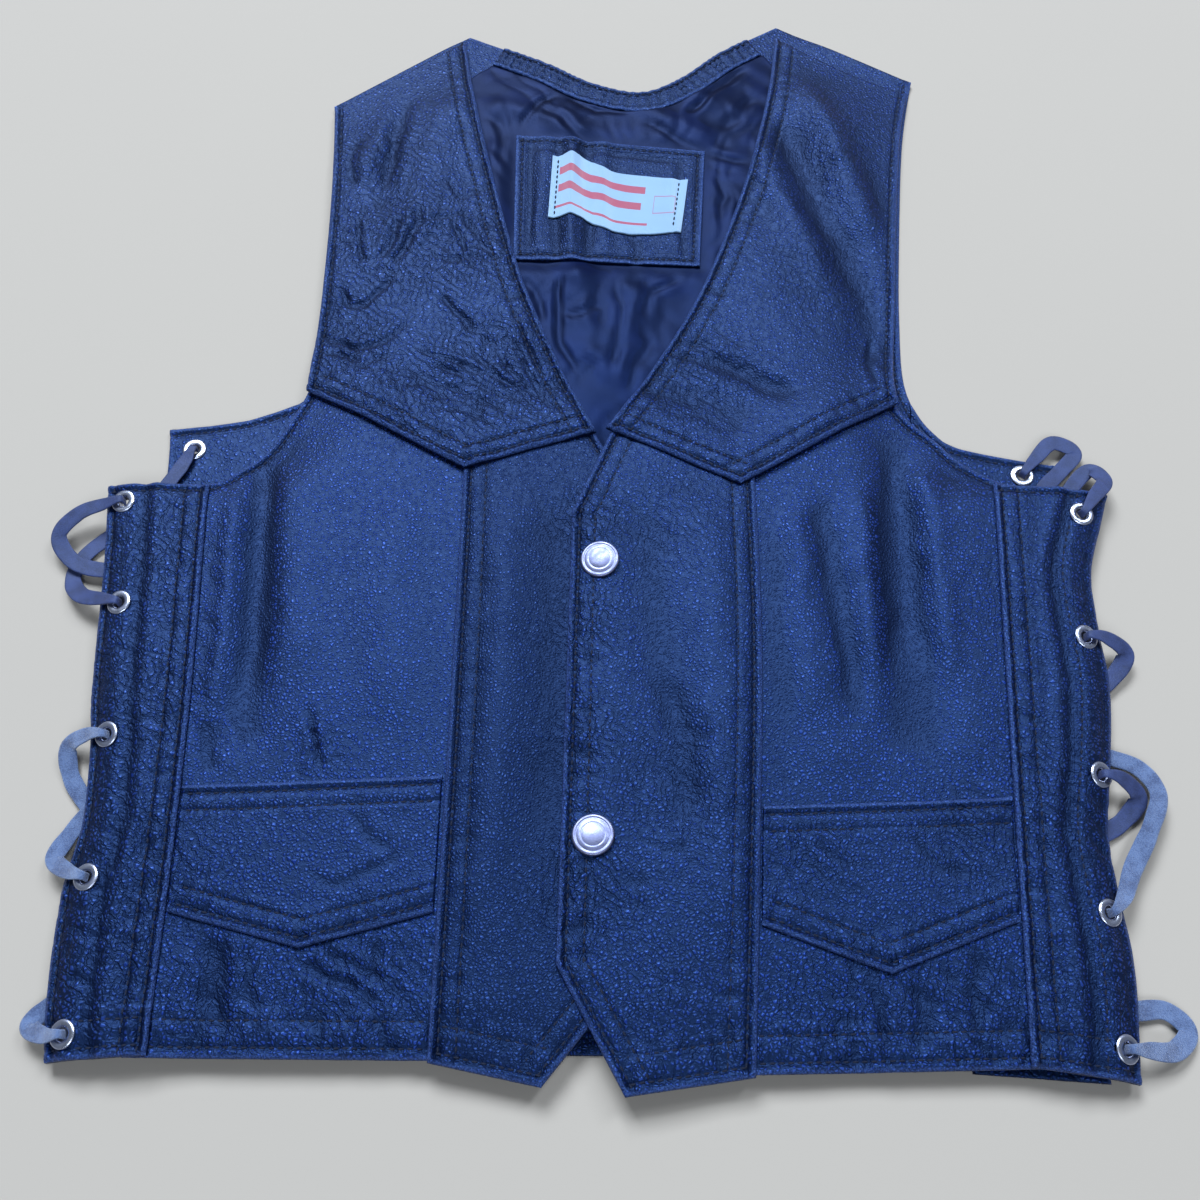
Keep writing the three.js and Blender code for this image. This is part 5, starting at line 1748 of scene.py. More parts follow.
@dataclass
class Eyelet:
    """A nickel eyelet clamped through a band: a flat foot, a barrel and a rolled upper flange."""

    node: str
    at: Spot
    low: Height
    high: Height
    flange: float = 6.2
    barrel: float = 3.3
    bore: float = 2.8
    foot: float = 0.5
    cap: float = 0.75
    sides: int = 40

    def seat(self) -> None:
        """Finds the eyelet's place, its facing and the band's span under its flange."""
        self.normal, self.origin = facing(self.low, *self.at), spot_on(self.low, *self.at)
        angle = np.tile(np.linspace(0, 2 * math.pi, 24, endpoint=False), 2)
        radius = np.repeat((4.4, self.flange), 24)
        x, y = self.at[0] + radius * np.cos(angle), self.at[1] + radius * np.sin(angle)
        under, over = (
            (np.stack([x, y, face(x, y)], 1) - self.origin) @ self.normal for face in (self.low, self.high)
        )
        self.bottom, self.top = float(under.min()) - 0.15, float(over.max()) + 0.05

    def build(self) -> Object:
        """Turns the eyelet's outline.

        Returns:
            The piece.
        """
        b, t, c, f, r = self.bottom, self.top, self.cap, self.flange, self.bore
        profile = (
            (r, b - self.foot), (f - 0.3, b - self.foot), (f, b - self.foot + 0.2), (f, b), (self.barrel, b),
            (self.barrel, t), (f - 0.35, t), (f, t + 0.15 * c), (f - 0.12, t + 0.5 * c),
            (f - 0.6, t + 0.85 * c), (f - 1.3, t + c), (r + 1.1, t + 0.9 * c), (r + 0.5, t + 0.62 * c),
            (r + 0.12, t + 0.1 * c), (r, t - 0.8),
        )
        piece = turned(f"{self.node}_ring", profile, self.sides, self.low, self.at, 40)
        dress(piece, Finish.NICKEL, self.node)
        return piece

    def through(self) -> list[Grid]:
        """The two rows of a lace's middle line where it passes through this eyelet."""
        return [self.origin + self.normal * rise for rise in (1.2, self.top + self.cap + 1.9)]


@dataclass
class SnapCap:
    """A snap's cap: a shallow dome inside a rolled rim, with a plain turned ring."""

    node: str
    at: Spot
    surface: Height
    radius: float = 9.8
    sides: int = 72

    def build(self) -> Object:
        """Turns the cap's outline about its axis.

        Returns:
            The piece.
        """
        r = self.radius
        profile = (
            (0.01, 0.0), (r - 0.7, 0.0), (r - 0.15, 0.25), (r, 0.75), (r - 0.15, 1.3), (r - 0.6, 1.7),
            (r - 1.2, 1.85), (r - 1.7, 1.75), (r - 2.0, 1.62), (r - 2.35, 1.75), (r - 3.6, 2.1),
            (r - 4.1, 2.12), (r - 4.35, 2.04), (r - 4.6, 2.12), (r - 6.2, 2.38), (r - 8.0, 2.52),
            (0.01, 2.58),
        )
        piece = turned(f"{self.node}_dome", profile, self.sides, self.surface, self.at, 60)
        dress(piece, Finish.CAP_NICKEL, self.node)
        return piece


# Laces

Eyelets = dict[tuple[Side, str, int], Eyelet]


@dataclass
class Lace:
    """A flat lace from one eyelet to another. Its rows are its middle line between the two."""

    side: Side
    number: int
    start: tuple[str, int]
    end: tuple[str, int] | None
    rows: tuple[Place, ...]
    finish: Finish = Finish.LACE_GRAIN
    width: float = 8.5
    neck: float = 4.0
    thickness: float = 1.2
    steps: int = 10
    around: int = 14

    @property
    def node(self) -> str:
        """The lace's node."""
        return f"lace_{self.side.value}_{self.number}"

    def middle(self, eyelets: Eyelets) -> tuple[Grid, Grid]:
        """Works out the middle line.

        It is a centripetal spline: each span's slopes come from its neighbours with steps timed
        by the square root of their lengths.

        Args:
            eyelets: The eyelets by side, layer and number.

        Returns:
            Places on the line, and how many rows along each one is.
        """
        rows = eyelets[self.side, *self.start].through() + [np.array(row, float) for row in self.rows]
        if self.end:
            rows = rows + eyelets[self.side, *self.end].through()[::-1]
        p = np.array(rows)
        p = np.vstack([2 * p[0] - p[1], p, 2 * p[-1] - p[-2]])
        spans = len(p) - 3
        at = np.linspace(0, spans, spans * self.steps + 1)
        i = np.minimum(at.astype(int), spans - 1)
        w = (at - i)[:, None]
        a, b, c, d = p[i], p[i + 1], p[i + 2], p[i + 3]
        lengths = (np.linalg.norm(q - r, axis=1, keepdims=True) for q, r in ((a, b), (b, c), (c, d)))
        t0, t1, t2 = (length**0.5 for length in lengths)
        slope_b = ((b - a) / t0 - (c - a) / (t0 + t1) + (c - b) / t1) * t1
        slope_c = ((c - b) / t1 - (d - b) / (t1 + t2) + (d - c) / t2) * t1
        return hermite(b, c, slope_b, slope_c, w), at

    def build(self, eyelets: Eyelets) -> Object:
        """Carries a rounded flat section along the middle line, narrowed at its eyelets.

        Args:
            eyelets: The eyelets by side, layer and number.

        Returns:
            The piece.
        """
        line, at = self.middle(eyelets)
        along = np.gradient(line, axis=0)
        along /= np.linalg.norm(along, axis=1, keepdims=True)
        level = np.hypot(along[:, 0], along[:, 1]) > 0.4
        known = np.flatnonzero(level)
        nearest = known[np.abs(np.arange(len(line))[:, None] - known[None]).argmin(1)]
        wide = np.stack([-along[nearest, 1], along[nearest, 0], np.zeros(len(line))], 1)
        wide -= along * (wide * along).sum(1, keepdims=True)
        wide /= np.linalg.norm(wide, axis=1, keepdims=True)
        thick = np.cross(along, wide)
        ends = np.minimum(np.minimum(at, at[-1] - at if self.end else 3.0), 3.0)
        share = ease((ends - 1) / 1.5)
        frayed = 1 + 0.07 * Noise(2.0, 31).at(np.arange(len(line)) * 0.5, np.zeros(len(line)))
        width = (self.neck + (self.width - self.neck) * share) * frayed
        angle = np.arange(self.around) * 2 * math.pi / self.around
        cos, sin = np.cos(angle), np.sin(angle)
        across, rise = np.sign(cos) * np.abs(cos) ** 0.45, np.sign(sin) * np.abs(sin) ** 0.7
        curl = 0.35 * share[:, None] * (across[None] ** 2 - 0.4)
        places = (
            line[:, None]
            + (across[None] * width[:, None] / 2)[..., None] * wide[:, None]
            + (rise[None] * self.thickness / 2 + curl)[..., None] * thick[:, None]
        ).reshape(-1, 3)
        ring = np.arange(self.around)[None]
        last = ring[:, ::-1] + (len(line) - 1) * self.around
        tube = tube_faces(len(line), self.around)[:, ::-1]
        piece = to_mesh(f"{self.node}_strap", places, [tube, ring, last])
        dress(piece, self.finish, self.node)
        float(np.linalg.norm(np.diff(line, axis=0), axis=1).sum() * MM)
        return piece


LACES = (
    Lace(
        Side.LEFT, 1, ("front", 1), ("back", 2),
        (
            (-252.5, 48, 13), (-265, 44, 10.6), (-274.6, 33, 7.4), (-266, 19.4, 5), (-250, 14.6, 4.4),
            (-234, 16.8, 4.8), (-222, 18.6, 5.2),
        ),
    ),
    Lace(
        Side.LEFT, 2, ("front", 2), ("back", 1),
        (
            (-245, -5.4, 12.4), (-257.4, -1, 7.4), (-265.4, 10.4, 2.2), (-262, 24, 1.5),
            (-248, 38, 1.9), (-232.5, 53, 4.1), (-222, 70, 4.9), (-217.5, 79, 5.3),
        ),
    ),
    Lace(
        Side.LEFT, 3, ("front", 3), ("back", 4),
        (
            (-239.6, -75.6, 11.6), (-249.5, -79.6, 6.4), (-248.4, -92, 2), (-239.4, -105, 1.4),
            (-229.5, -113.5, 2), (-219, -116.6, 4.9),
        ),
        Finish.LACE_SUEDE,
    ),
    Lace(
        Side.LEFT, 4, ("front", 4), ("back", 3),
        (
            (-237.6, -140.4, 11), (-246.4, -133.5, 6.6), (-242.4, -121.4, 4.2), (-232, -105, 4.2),
            (-220.5, -78, 5), (-213.8, -59, 5.2),
        ),
        Finish.LACE_SUEDE,
    ),
    Lace(
        Side.LEFT, 5, ("front", 5), ("back", 5),
        (
            (-235.6, -210.4, 10.4), (-244, -206, 6), (-239, -198, 3.4), (-228, -191.5, 4.4),
            (-218, -187.4, 5.2),
        ),
        Finish.LACE_SUEDE,
    ),
    Lace(
        Side.RIGHT, 1, ("front", 1), ("back", 2),
        (
            (251.4, 51.2, 15.2), (259.6, 62.6, 11.4), (255.6, 72, 6.6), (244, 61, 4.9),
            (233.5, 38, 4.9), (224, 15, 5.2),
        ),
    ),
    Lace(
        Side.RIGHT, 2, ("back", 1), None,
        (
            (229.2, 80.6, 5.2), (239.5, 90, 4.8), (250, 84.4, 4.2), (241.5, 73.4, 4.4),
            (229.5, 60, 6.6), (223.4, 44, 7), (222, 20, 7.2), (224, -6, 7.2),
        ),
    ),
    Lace(
        Side.RIGHT, 3, ("front", 2), ("back", 3),
        (
            (245, -26.2, 12.2), (255, -32.6, 7.4), (247.4, -44.6, 4.2), (234, -53.5, 4.6),
            (223, -59.6, 5.2),
        ),
    ),
    Lace(
        Side.RIGHT, 4, ("front", 3), ("back", 4),
        (
            (240.6, -97, 11.2), (249, -104.6, 5.4), (241.5, -114.5, 1.6), (231, -121, 2.4),
            (223.6, -124.6, 4.4), (218, -127, 5),
        ),
    ),
    Lace(
        Side.RIGHT, 5, ("front", 4), None,
        (
            (231.4, -152.6, 12), (239, -139, 8.4), (250.5, -120, 9), (257.6, -103, 7.6),
            (252, -90, 4.6), (238, -84, 4.2), (224, -79, 5.4),
        ),
        Finish.LACE_SUEDE,
    ),
    Lace(
        Side.RIGHT, 6, ("front", 5), ("back", 5),
        (
            (231, -216.6, 11), (244.6, -216, 5.6), (252.6, -207.5, 2.8), (245, -199.2, 2),
            (230, -199.4, 3), (216, -198, 5.2),
        ),
        Finish.LACE_SUEDE,
    ),
)


# The vest's parts

ENDS = np.array([0.0, 1.0])


def level(rise: float) -> Height:
    """A flat surface at a height."""
    return lambda x, y: np.full(np.shape(x), rise)


def raised(surface: Height, *rises: float) -> Height:
    """A surface moved up by the sum of some heights."""
    return lambda x, y: surface(x, y) + sum(rises)


@dataclass
class Back:
    """The back, its laced bands, and what shows inside the neck.

    Four corners are the upper left, upper right, lower left and lower right ones.
    """

    neck: Rows = (
        (-82.5, 397.5), (-34.5, 374.4), (-6.2, 357.1), (24.7, 348.5), (49.8, 360.5), (75.6, 383.2),
        (112.2, 406.5),
    )
    seam_x: float = 186.0
    shoulder_fade: float = 12.0
    band_base: float = 0.8
    band_thickness: float = 1.2
    band_inner: float = 158.0
    band_ease: float = 6.0
    facing_width: float = 16.0
    facing_span: Spot = (0.11, 0.9)
    lining_below_neck: float = 17.5
    lining_corners: Rows = ((-128.0, 318.0), (142.0, 318.0), (-128.0, -203.0), (142.0, -203.0))
    patch_corners: Rows = ((-50.7, 310.8), (62.9, 297.9), (-49.7, 215.1), (56.9, 210.0))
    label_top: Rows = ((-28.1, 291.5), (-12.0, 291.5), (8.0, 280.0), (30.0, 276.5), (52.0, 274.1))
    label_bottom: Rows = ((-30.2, 244.9), (-12.0, 244.5), (4.0, 235.5), (24.0, 232.5), (46.8, 234.3))

    def back(self) -> Cloth:
        """The back panel, flat on the table, with a doubled shoulder edge.

        Returns:
            The cloth.
        """
        left, right = (
            Chain((Curved(e.shoulder), Curved(e.side), Straight(e.side[-1], e.hem)), (2 / 16, 8 / 16))
            for e in BACKS.values()
        )
        neck, hem = Curved(self.neck), Straight(BACKS[Side.LEFT].hem, BACKS[Side.RIGHT].hem)

        def ridge(x: Grid, y: Grid) -> Grid:
            """The shoulder's second layer, as thick as the leather, which fades inwards."""
            near = np.minimum(*(nearest_on(e.shoulder, x, y)[0] for e in BACKS.values()))
            return LEATHER * (1 - ease(near / self.shoulder_fade)) * ease((400 - y) / 15)

        return Cloth(
            "back",
            Cut(neck, hem, left, right),
            level(0.0),
            LEATHER,
            Finish.HIDE,
            seams=(
                Seam(Curved(BACKS[Side.RIGHT].side), (4.0,), 0.15, 0.08),
                Seam(Curved(BACKS[Side.LEFT].side), (4.0,), 0.15, 0.08),
                Seam(neck, (), 0.12, 0.06),
            ),
            covers=tuple(Yokes().cut(side).outline() for side in Side),
            stops=(1, 16),
            pitch=6.0,
            ripple=ridge,
        )

    def band(self, side: Side) -> Cloth:
        """A doubled lacing band at one side of the back.

        Args:
            side: Left or right.

        Returns:
            The cloth.
        """
        edges = BACKS[side]
        top, outer, end = Curved(edges.band_top), Curved(edges.band_outer), edges.band_outer[-1]
        foot = (math.copysign(self.band_inner, end[0]), end[1] + 4)
        cut = side_cut(side, Reverse(top), Straight(end, foot), outer, Straight(edges.band_top[0], foot))

        def low(x: Grid, y: Grid) -> Grid:
            """On the back inside the seam, and lower outside it."""
            out = ease((np.abs(x) - self.seam_x - 2) / self.band_ease)
            return LAYER + (self.band_base - LAYER) * out

        def fill(x: Grid, y: Grid) -> Grid:
            """Keeps the upper face level where the lower one drops, and gathers it a little."""
            gathers = 0.25 * Noise(7.0, 41, 60, 2.2).at(x, y) + 0.12 * Noise(3.5, 42, 20, 1.6).at(x, y)
            return LAYER - low(x, y) + gathers

        return Cloth(
            f"back_band_{side.value}",
            cut,
            low,
            self.band_thickness,
            Finish.CREASED_HIDE,
            seams=(Seam(top, (4.0,), 0.35, 0.3), Seam(outer, (), 0.3, 0.12)),
            covers=tuple(Sides().cut(each).outline() for each in Side),
            holes=edges.eyelets,
            rests_on=("back",),
            ripple=fill,
            pitch=3.0,
        )

    def facing(self) -> Cloth:
        """The gathered strip along the neck.

        Returns:
            The normal.
        """
        edge = Offset(Curved(self.neck), GAP, *self.facing_span)
        lower = Offset(Curved(self.neck), GAP + self.facing_width, *self.facing_span)
        sides = (Straight(tuple(a), tuple(b)) for a, b in zip(edge.at(ENDS), lower.at(ENDS)))

        def gathers(x: Grid, y: Grid) -> Grid:
            """Gathers across the strip: a noise along its run, strongest in its middle.

            Args:
                x: Distances to the right, in mm.
                y: Distances towards the collar, in mm.

            Returns:
                The height, in mm.
            """
            away, run = nearest_on(edge.line(), x, y)
            phase = run / 5.2 + 0.8 * Noise(11, 51).at(run, away * 0.3)
            rib = np.sin(2 * math.pi * phase) + 0.4 * Noise(3.0, 52).at(run, away * 0.3)
            return 0.7 * rib * np.sin(np.clip(away / self.facing_width, 0.06, 0.94) * math.pi) ** 0.5

        return Cloth(
            "neck_facing",
            Cut(edge, lower, *sides),
            level(LAYER),
            LEATHER,
            Finish.DARK_HIDE,
            seams=(Seam(edge, (3.0,), 0.3, 0.1), Seam(lower, (), 0.2, 0.1)),
            held="gathered",
            rests_on=("back",),
            ripple=gathers,
            flat=(np.hypot(*np.diff(edge.line(), axis=0).T).sum() * 1.1, self.facing_width + 2),
        )

    def lining(self) -> Cloth:
        """The satin lining, creased where it shows inside the neck.

        Returns:
            The cloth.
        """
        below = Offset(Curved(self.neck), self.lining_below_neck, *self.facing_span)
        start, end = map(tuple, below.at(ENDS))
        left, right = self.lining_corners[:2]
        top = Chain((Straight(left, start), below, Straight(end, right)), (3 / 18, 15 / 18))
        patch = quad(self.patch_corners).outline()

        def wrinkles(x: Grid, y: Grid) -> Grid:
            """Satin's listed creases on a slow swell, none under the patch.

            Args:
                x: Distances to the right, in mm.
                y: Distances towards the collar, in mm.

            Returns:
                The height, in mm.
            """
            bend = 2 * Noise(16, 61).at(x, y)
            total = 0.9 + 0.6 * Noise(24, 62, 35, 1.8).at(x + bend, y) + 0.3 * Noise(7, 63, -40, 2.0).at(x, y)
            total = total - 0.45 * wrinkled(x, y, 13, -30, 65) - 0.4 * wrinkled(x, y, 10, 25, 68)
            for crease in LINING_CREASES:
                total = total + 0.8 * crease.at(x + bend, y - bend)
            free = np.where(inside(patch, x, y), 0.0, ease(nearest_on(patch, x, y)[0] / 10))
            return np.maximum(total, -0.25) * free * ease((y - 60) / 40)

        return Cloth(
            "back_lining",
            replace(quad(self.lining_corners), top=top),
            lining_lay,
            LINING,
            Finish.SATIN,
            stops=(18, 1),
            pitch=2.4,
            shown=0.5,
            rests_on=("back",),
            ripple=wrinkles,
        )

    def patch(self) -> Cloth:
        """The leather patch sewn on the lining.

        Returns:
            The cloth.
        """
        cut = quad(self.patch_corners)
        puckers = ((cut.left, 0.15), (cut.right, 0.15), (cut.top, 0.3), (cut.bottom, 0.15))
        return Cloth(
            "neck_patch",
            cut,
            raised(lining_lay, LINING, GAP),
            LEATHER,
            Finish.DARK_HIDE,
            seams=tuple(Seam(edge, (4.0,), 0.1, pucker) for edge, pucker in puckers),
            covers=(quad((*self.label_top[::4], *self.label_bottom[::4])).outline(),),
            round_edge=0.5,
            rests_on=("back_lining",),
            ripple=buckled,
        )

    def label(self) -> Cloth:
        """The woven label on the patch.

        Returns:
            The cloth.
        """
        plain = quad((*self.label_top[::4], *self.label_bottom[::4]))
        under = raised(lining_lay, LINING, GAP, LEATHER, GAP)
        return Cloth(
            "neck_label",
            replace(plain, top=Curved(self.label_top), bottom=Curved(self.label_bottom)),
            lambda x, y: under(x, y) + np.maximum(buckled(x, y), -0.6),
            LABEL,
            Finish.TAPE,
            seams=(Seam(plain.left, (3.5,), 0.0, 0.08), Seam(plain.right, (5.0,), 0.0, 0.08)),
            round_edge=0.35,
            rests_on=("neck_patch",),
            label=True,
        )


@dataclass
class Sides:
    """The side fronts, which the centre panels, yokes and bands lap over."""

    tuck: float = 12.0

    def cut(self, side: Side) -> Cut:
        """The flat outline of one side front, tucked in under its centre panel.

        Args:
            side: Left or right.

        Returns:
            The outline.
        """
        edges = FRONTS[side]
        inward = self.tuck if side is Side.LEFT else -self.tuck
        tuck = tuple((x + inward, y + 1) for x, y in edges.centre_seam)
        outer = Chain((Curved(edges.underarm), Straight(edges.underarm[-1], edges.side_hem[0])), (5 / 14,))
        hem = Curved((*edges.side_hem, tuck[-1]))
        return side_cut(side, Straight(edges.underarm[0], tuck[0]), hem, outer, Curved(tuck))

    def panel(self, side: Side) -> Cloth:
        """One side front.

        Args:
            side: Left or right.

        Returns:
            The cloth.
        """
        cut = self.cut(side)
        return Cloth(
            f"front_side_{side.value}",
            cut,
            front_lay,
            LEATHER,
            Finish.FINE_HIDE,
            seams=(
                Seam(Curved(FRONTS[side].underarm), (4.0,), 0.5, 0.25),
                Seam(cut.bottom, HEM_ROWS, 0.6, 1.2),
            ),
            covers=tuple(part.cut(side).outline() for part in (Yokes(), Bands(), Flaps(), Centres())),
            stops=(1, 14),
            rests_on=("back",),
        )


@dataclass
class Centres:
    """The centre fronts. The right one laps over the left one and snaps."""

    snaps: Rows = ((0.0, 14.8), (-3.1, -124.9))

    def cut(self, side: Side) -> Cut:
        """The flat outline of one centre front.

        Args:
            side: Left or right.

        Returns:
            The outline.
        """
        e = FRONTS[side]
        hem = Chain(
            (Straight(e.centre_seam[-1], e.front_tip), Straight(e.front_tip, e.front_corner)),
            ((4 if side is Side.LEFT else 5) / 9,),
        )
        front = Chain(
            (Straight(e.centre_top, e.front_break), Straight(e.front_break, e.front_corner)), (3 / 14,)
        )
        return side_cut(side, Straight(e.centre_seam[0], e.centre_top), hem, Curved(e.centre_seam), front)

    def left(self) -> Cloth:
        """The left centre front.

        Returns:
            The cloth.
        """
        e, cut = FRONTS[Side.LEFT], self.cut(Side.LEFT)
        return Cloth(
            "front_centre_left",
            cut,
            raised(front_lay, LAYER),
            LEATHER,
            Finish.DARK_HIDE,
            seams=(
                Seam(cut.left),
                Seam(Straight(e.centre_seam[-1], e.front_tip), HEM_ROWS, 0.6, 1.1),
                Seam(Straight(e.front_tip, e.front_corner)),
                Seam(Straight(e.centre_top, e.front_break), (4.2,)),
            ),
            covers=(Yokes().cut(Side.LEFT).outline(), self.cut(Side.RIGHT).outline()),
            stops=(9, 14),
            rests_on=("front_side_left",),
        )

    def right(self) -> Cloth:
        """The right centre front.

        Returns:
            The cloth.
        """
        e, cut = FRONTS[Side.RIGHT], self.cut(Side.RIGHT)
        return Cloth(
            "front_centre_right",
            cut,
            lambda x, y: front_lay(x, y) + LAYER + overlap_lift(x),
            LEATHER,
            Finish.HIDE,
            seams=(
                Seam(cut.right),
                Seam(Straight(e.centre_top, e.front_break)),
                Seam(Straight(e.front_break, e.front_corner), STITCH_ROWS, 0.7, 0.9),
                Seam(Straight(e.front_corner, e.front_tip)),
                Seam(Straight(e.front_tip, e.centre_seam[-1]), HEM_ROWS, 0.6, 1.1),
            ),
            covers=(Yokes().cut(Side.RIGHT).outline(),),
            stops=(9, 14),
            rests_on=("front_side_right", "front_centre_left"),
        )


@dataclass
class Yokes:
    """The pointed yokes."""

    pitch: float = 1.8

    def lower(self, side: Side) -> Rows:
        """One yoke's pointed edge, from left to right."""
        edges = FRONTS[side]
        rows = (edges.armhole[-1], edges.yoke_point, edges.neck[-1])
        return rows if side is Side.LEFT else rows[::-1]

    def cut(self, side: Side) -> Cut:
        """The flat outline of one yoke.

        Args:
            side: Left or right.

        Returns:
            The outline.
        """
        edges = FRONTS[side]
        a, b, c = self.lower(side)
        lower = Chain((Straight(a, b), Straight(b, c)), ((6 if side is Side.LEFT else 5) / 11,))
        left, right = (edges.armhole, edges.neck)[:: 1 if side is Side.LEFT else -1]
        return Cut(Curved(edges.shoulder), lower, Curved(left), Curved(right))

    def yoke(self, side: Side) -> Cloth:
        """One yoke, held up along its point by what it laps over.

        Args:
            side: Left or right.

        Returns:
            The cloth.
        """
        left = side is Side.LEFT
        a, b, c = lower = self.lower(side)

        def low(x: Grid, y: Grid) -> Grid:
            """Two layers up along the point, and three where the right one crosses the left."""
            extra = 0 if left else overlap_lift(x)
            return front_lay(x, y) + (2 * LAYER + extra) * yoke_lift(lower, x, y)

        return Cloth(
            f"yoke_{side.value}",
            self.cut(side),
            low,
            LEATHER,
            Finish.CREASED_HIDE if left else Finish.HIDE,
            seams=(
                Seam(Straight(a, b), STITCH_ROWS, 0.8, 0.9),
                Seam(Straight(b, c), STITCH_ROWS, 0.8, 0.9),
                Seam(Curved(FRONTS[side].neck), STITCH_ROWS, 0.8, 0.7),
                Seam(Curved(FRONTS[side].armhole), (4.2,), 0.5, 0.35),
            ),
            covers=(self.cut(Side.RIGHT).outline(),) if left else (),
            stops=(11, 16),
            pitch=self.pitch,
            rests_on=(f"front_side_{side.value}", f"front_centre_{side.value}"),
        )


@dataclass
class Flaps:
    """The pointed pocket flaps."""

    thickness: float = 1.2

    def cut(self, side: Side) -> Cut:
        """The flat outline of one flap."""
        a, b, c, tip, d = FRONTS[side].flap
        return replace(quad((a, b, c, d)), bottom=Chain((Straight(c, tip), Straight(tip, d)), (4 / 8,)))

    def flap(self, side: Side) -> Cloth:
        """One flap, sewn along its top and its point.

        Args:
            side: Left or right.

        Returns:
            The cloth.
        """
        a, b, c, tip, d = FRONTS[side].flap
        return Cloth(
            f"pocket_flap_{side.value}",
            self.cut(side),
            raised(front_lay, LAYER),
            self.thickness,
            Finish.HIDE,
            seams=(
                Seam(Straight(a, b), STITCH_ROWS, 0.7, 0.35),
                Seam(Straight(c, tip), STITCH_ROWS, 0.8, 0.7),
                Seam(Straight(tip, d), STITCH_ROWS, 0.8, 0.7),
            ),
            stops=(8, 4),
            rests_on=(f"front_side_{side.value}",),
        )


@dataclass
class Bands:
    """The doubled bands of the fronts that carry the eyelets."""

    hold: float = 14.0
    drop: float = 8.0

    def cut(self, side: Side) -> Cut:
        """The flat outline of one band.

        Args:
            side: Left or right.

        Returns:
            The outline.
        """
        outer, seam = FRONTS[side].band_outer, FRONTS[side].band_seam
        return side_cut(
            side, Straight(outer[0], seam[0]), Straight(outer[-1], seam[-1]), Curved(outer), Curved(seam)
        )

    def band(self, side: Side) -> Cloth:
        """One band. It laps over the side front at its seam and rolls down at its outer edge.

        Args:
            side: Left or right.

        Returns:
            The cloth.
        """
        left = side is Side.LEFT
        outer, seam = FRONTS[side].band_outer, FRONTS[side].band_seam

        def low(x: Grid, y: Grid) -> Grid:
            """One layer up over the side front, and down to the gap beyond it."""
            inner = ease((np.abs(edge_at(seam, y) - x) - self.hold) / self.drop)
            return front_lay(x, y) + LAYER + (GAP - LAYER) * inner

        def fill(x: Grid, y: Grid) -> Grid:
            """Keeps the upper face smooth where the lower one drops, with an inner edge showing."""
            line = np.abs(edge_at(outer, y) - x)
            groove = 1.3 * np.exp(-(((line - 20) / 3.2) ** 2)) - 1.1 * np.exp(-(((line - 27) / 3.6) ** 2))
            return front_lay(x, y) + LAYER - low(x, y) - groove

        return Cloth(
            f"front_band_{side.value}",
            self.cut(side),
            low,
            LEATHER,
            Finish.CREASED_HIDE if left else Finish.HIDE,
            seams=(
                Seam(Curved(seam), STITCH_ROWS, 0.8, 0.6),
                Seam(Curved(outer), (3.8,) if left else (15.5,), 0.4, 0.25),
                Seam(Straight(outer[0], seam[0]), (4.2,), 0.5, 0.25),
                Seam(Straight(outer[-1], seam[-1]), HEM_ROWS, 0.6, 1.1),
            ),
            holes=FRONTS[side].eyelets,
            rests_on=(f"front_side_{side.value}",),
            ripple=fill,
        )


# Staging


@dataclass(frozen=True)
class Lamp:
    """A soft lamp that faces the vest. Its place and its width and height are in metres."""

    name: str
    place: Place
    size: Spot
    watts: float
    tint: Colour = (0.85, 0.93, 1.0)

    def hang(self) -> None:
        """Puts the lamp up, turned to the middle of the table."""
        data = bpy.data.lights.new(self.name, "AREA")
        data.shape = "RECTANGLE"
        data.size, data.size_y = self.size
        data.energy = self.watts
        data.color = self.tint
        lamp = bpy.data.objects.new(self.name, data)
        lamp.location = self.place
        towards = -np.array(self.place) / np.linalg.norm(self.place)
        lamp.rotation_euler = (math.acos(-towards[2]), 0.0, math.atan2(-towards[0], towards[1]))
        bpy.context.scene.collection.objects.link(lamp)


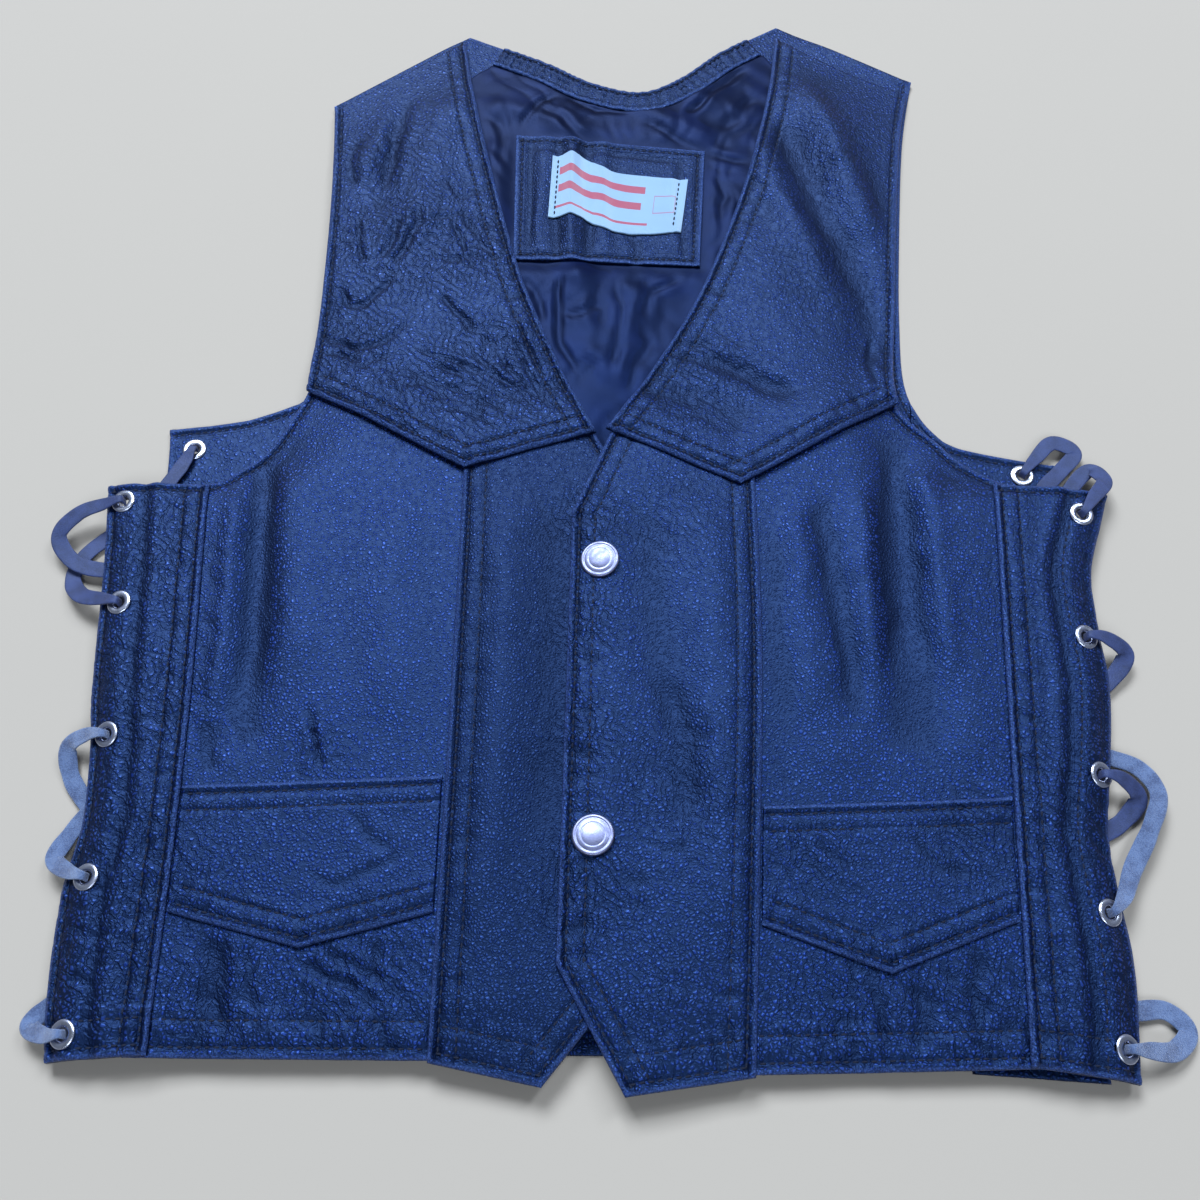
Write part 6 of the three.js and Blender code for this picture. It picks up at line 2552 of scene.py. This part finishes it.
@dataclass
class Studio:
    """A pale table, soft light and the camera at the photo's angle."""

    lens: float = 39.0
    tilt: float = 26.13
    place: Place = (0.0, -0.2872, 0.5856)
    table_reach: float = 4000.0
    table_paint: tuple[Colour, Colour] = ((0.348, 0.322, 0.3), (0.355, 0.33, 0.306))
    sky: Colour = (0.8, 0.9, 1.0)
    lamps: tuple[Lamp, ...] = (
        Lamp("window", (-1.0, 3.2, 4.4), (2.6, 2.2), 480.0),
        Lamp("far_window", (2.2, 2.0, 4.0), (0.8, 2.0), 104.0),
        Lamp("fill", (0.0, -3.5, 4.0), (3.0, 2.0), 128.0),
    )

    def camera(self) -> None:
        """Aims the camera at the vest's middle from above its hem."""
        data = bpy.data.cameras.new("camera")
        data.lens = self.lens
        data.sensor_width = 36.0
        camera = bpy.data.objects.new("camera", data)
        camera.location = self.place
        camera.rotation_euler = (math.radians(self.tilt), 0.0, 0.0)
        bpy.context.scene.collection.objects.link(camera)
        bpy.context.scene.camera = camera

    def table(self) -> None:
        """A wide pale table top just under the vest."""
        run = np.linspace(-self.table_reach, self.table_reach, 3)
        x, y = np.meshgrid(run, run[::-1])
        places = np.stack([x, y, np.full(x.shape, -0.3)], -1).reshape(-1, 3)
        table = to_mesh("table_top", places, [net_faces(3, 3)])
        s = Shader("table_paint")
        s.set(Base_Color=s.mix(s.noise(3.0, 2.0), *self.table_paint), Roughness=0.9, Specular_IOR_Level=0.1)
        table.data.materials.append(s.material)

    def light(self) -> None:
        """Lights the table: a broad window beyond the collar, a fill and a pale sky."""
        for lamp in self.lamps:
            lamp.hang()
        world = bpy.data.worlds.new("sky")
        world.use_nodes = True
        world.node_tree.nodes["Background"].inputs[0].default_value = (*self.sky, 1)
        world.node_tree.nodes["Background"].inputs[1].default_value = 0.2
        bpy.context.scene.world = world
        bpy.context.scene.view_settings.view_transform = "Standard"


def build_hardware(by_node: dict[str, Cloth], snaps: Rows) -> Eyelets:
    """Sets the eyelets in their bands and the caps on the right centre front.

    Args:
        by_node: The cloths by their nodes.
        snaps: Where the caps are.

    Returns:
        The eyelets by side, layer and number.
    """
    eyelets = {}
    for layer, edges in (("front", FRONTS), ("back", BACKS)):
        for side in Side:
            band = by_node[f"{layer}_band_{side.value}"]
            for number, at in enumerate(edges[side].eyelets, 1):
                eyelet = Eyelet(f"{layer}_eyelet_{side.value}_{number}", at, band.low, band.top)
                eyelet.seat()
                eyelet.build()
                eyelets[side, layer, number] = eyelet
    surface = raised(by_node["front_centre_right"].low, LEATHER, GAP)
    for number, at in enumerate(snaps, 1):
        SnapCap(f"snap_cap_{number}", at, surface).build()
    return eyelets


def main() -> None:
    """Builds the vest from the table up, and reports each piece."""
    logging.basicConfig(level=logging.INFO, format="%(message)s")
    studio = Studio()
    studio.camera()
    studio.table()
    studio.light()
    make_finishes()

    back, sides, centres, flaps, yokes, bands = Back(), Sides(), Centres(), Flaps(), Yokes(), Bands()
    cloths = [
        back.back(),
        *map(back.band, Side),
        back.facing(),
        back.lining(),
        back.patch(),
        back.label(),
        *map(sides.panel, Side),
        centres.left(),
        centres.right(),
        *map(flaps.flap, Side),
        *map(yokes.yoke, Side),
        *map(bands.band, Side),
    ]
    for cloth in cloths:
        piece, sewn = cloth.build(), cloth.sew()
        log.info("%s: %d faces, stitches %s", cloth.node, len(piece.data.polygons), bool(sewn))
    eyelets = build_hardware({cloth.node: cloth for cloth in cloths}, centres.snaps)
    log.info("%d eyelets, %d snap caps", len(eyelets), len(centres.snaps))
    for lace in LACES:
        lace.build(eyelets)
        log.info("%s", lace.node)


if __name__ == "__main__":
    main()
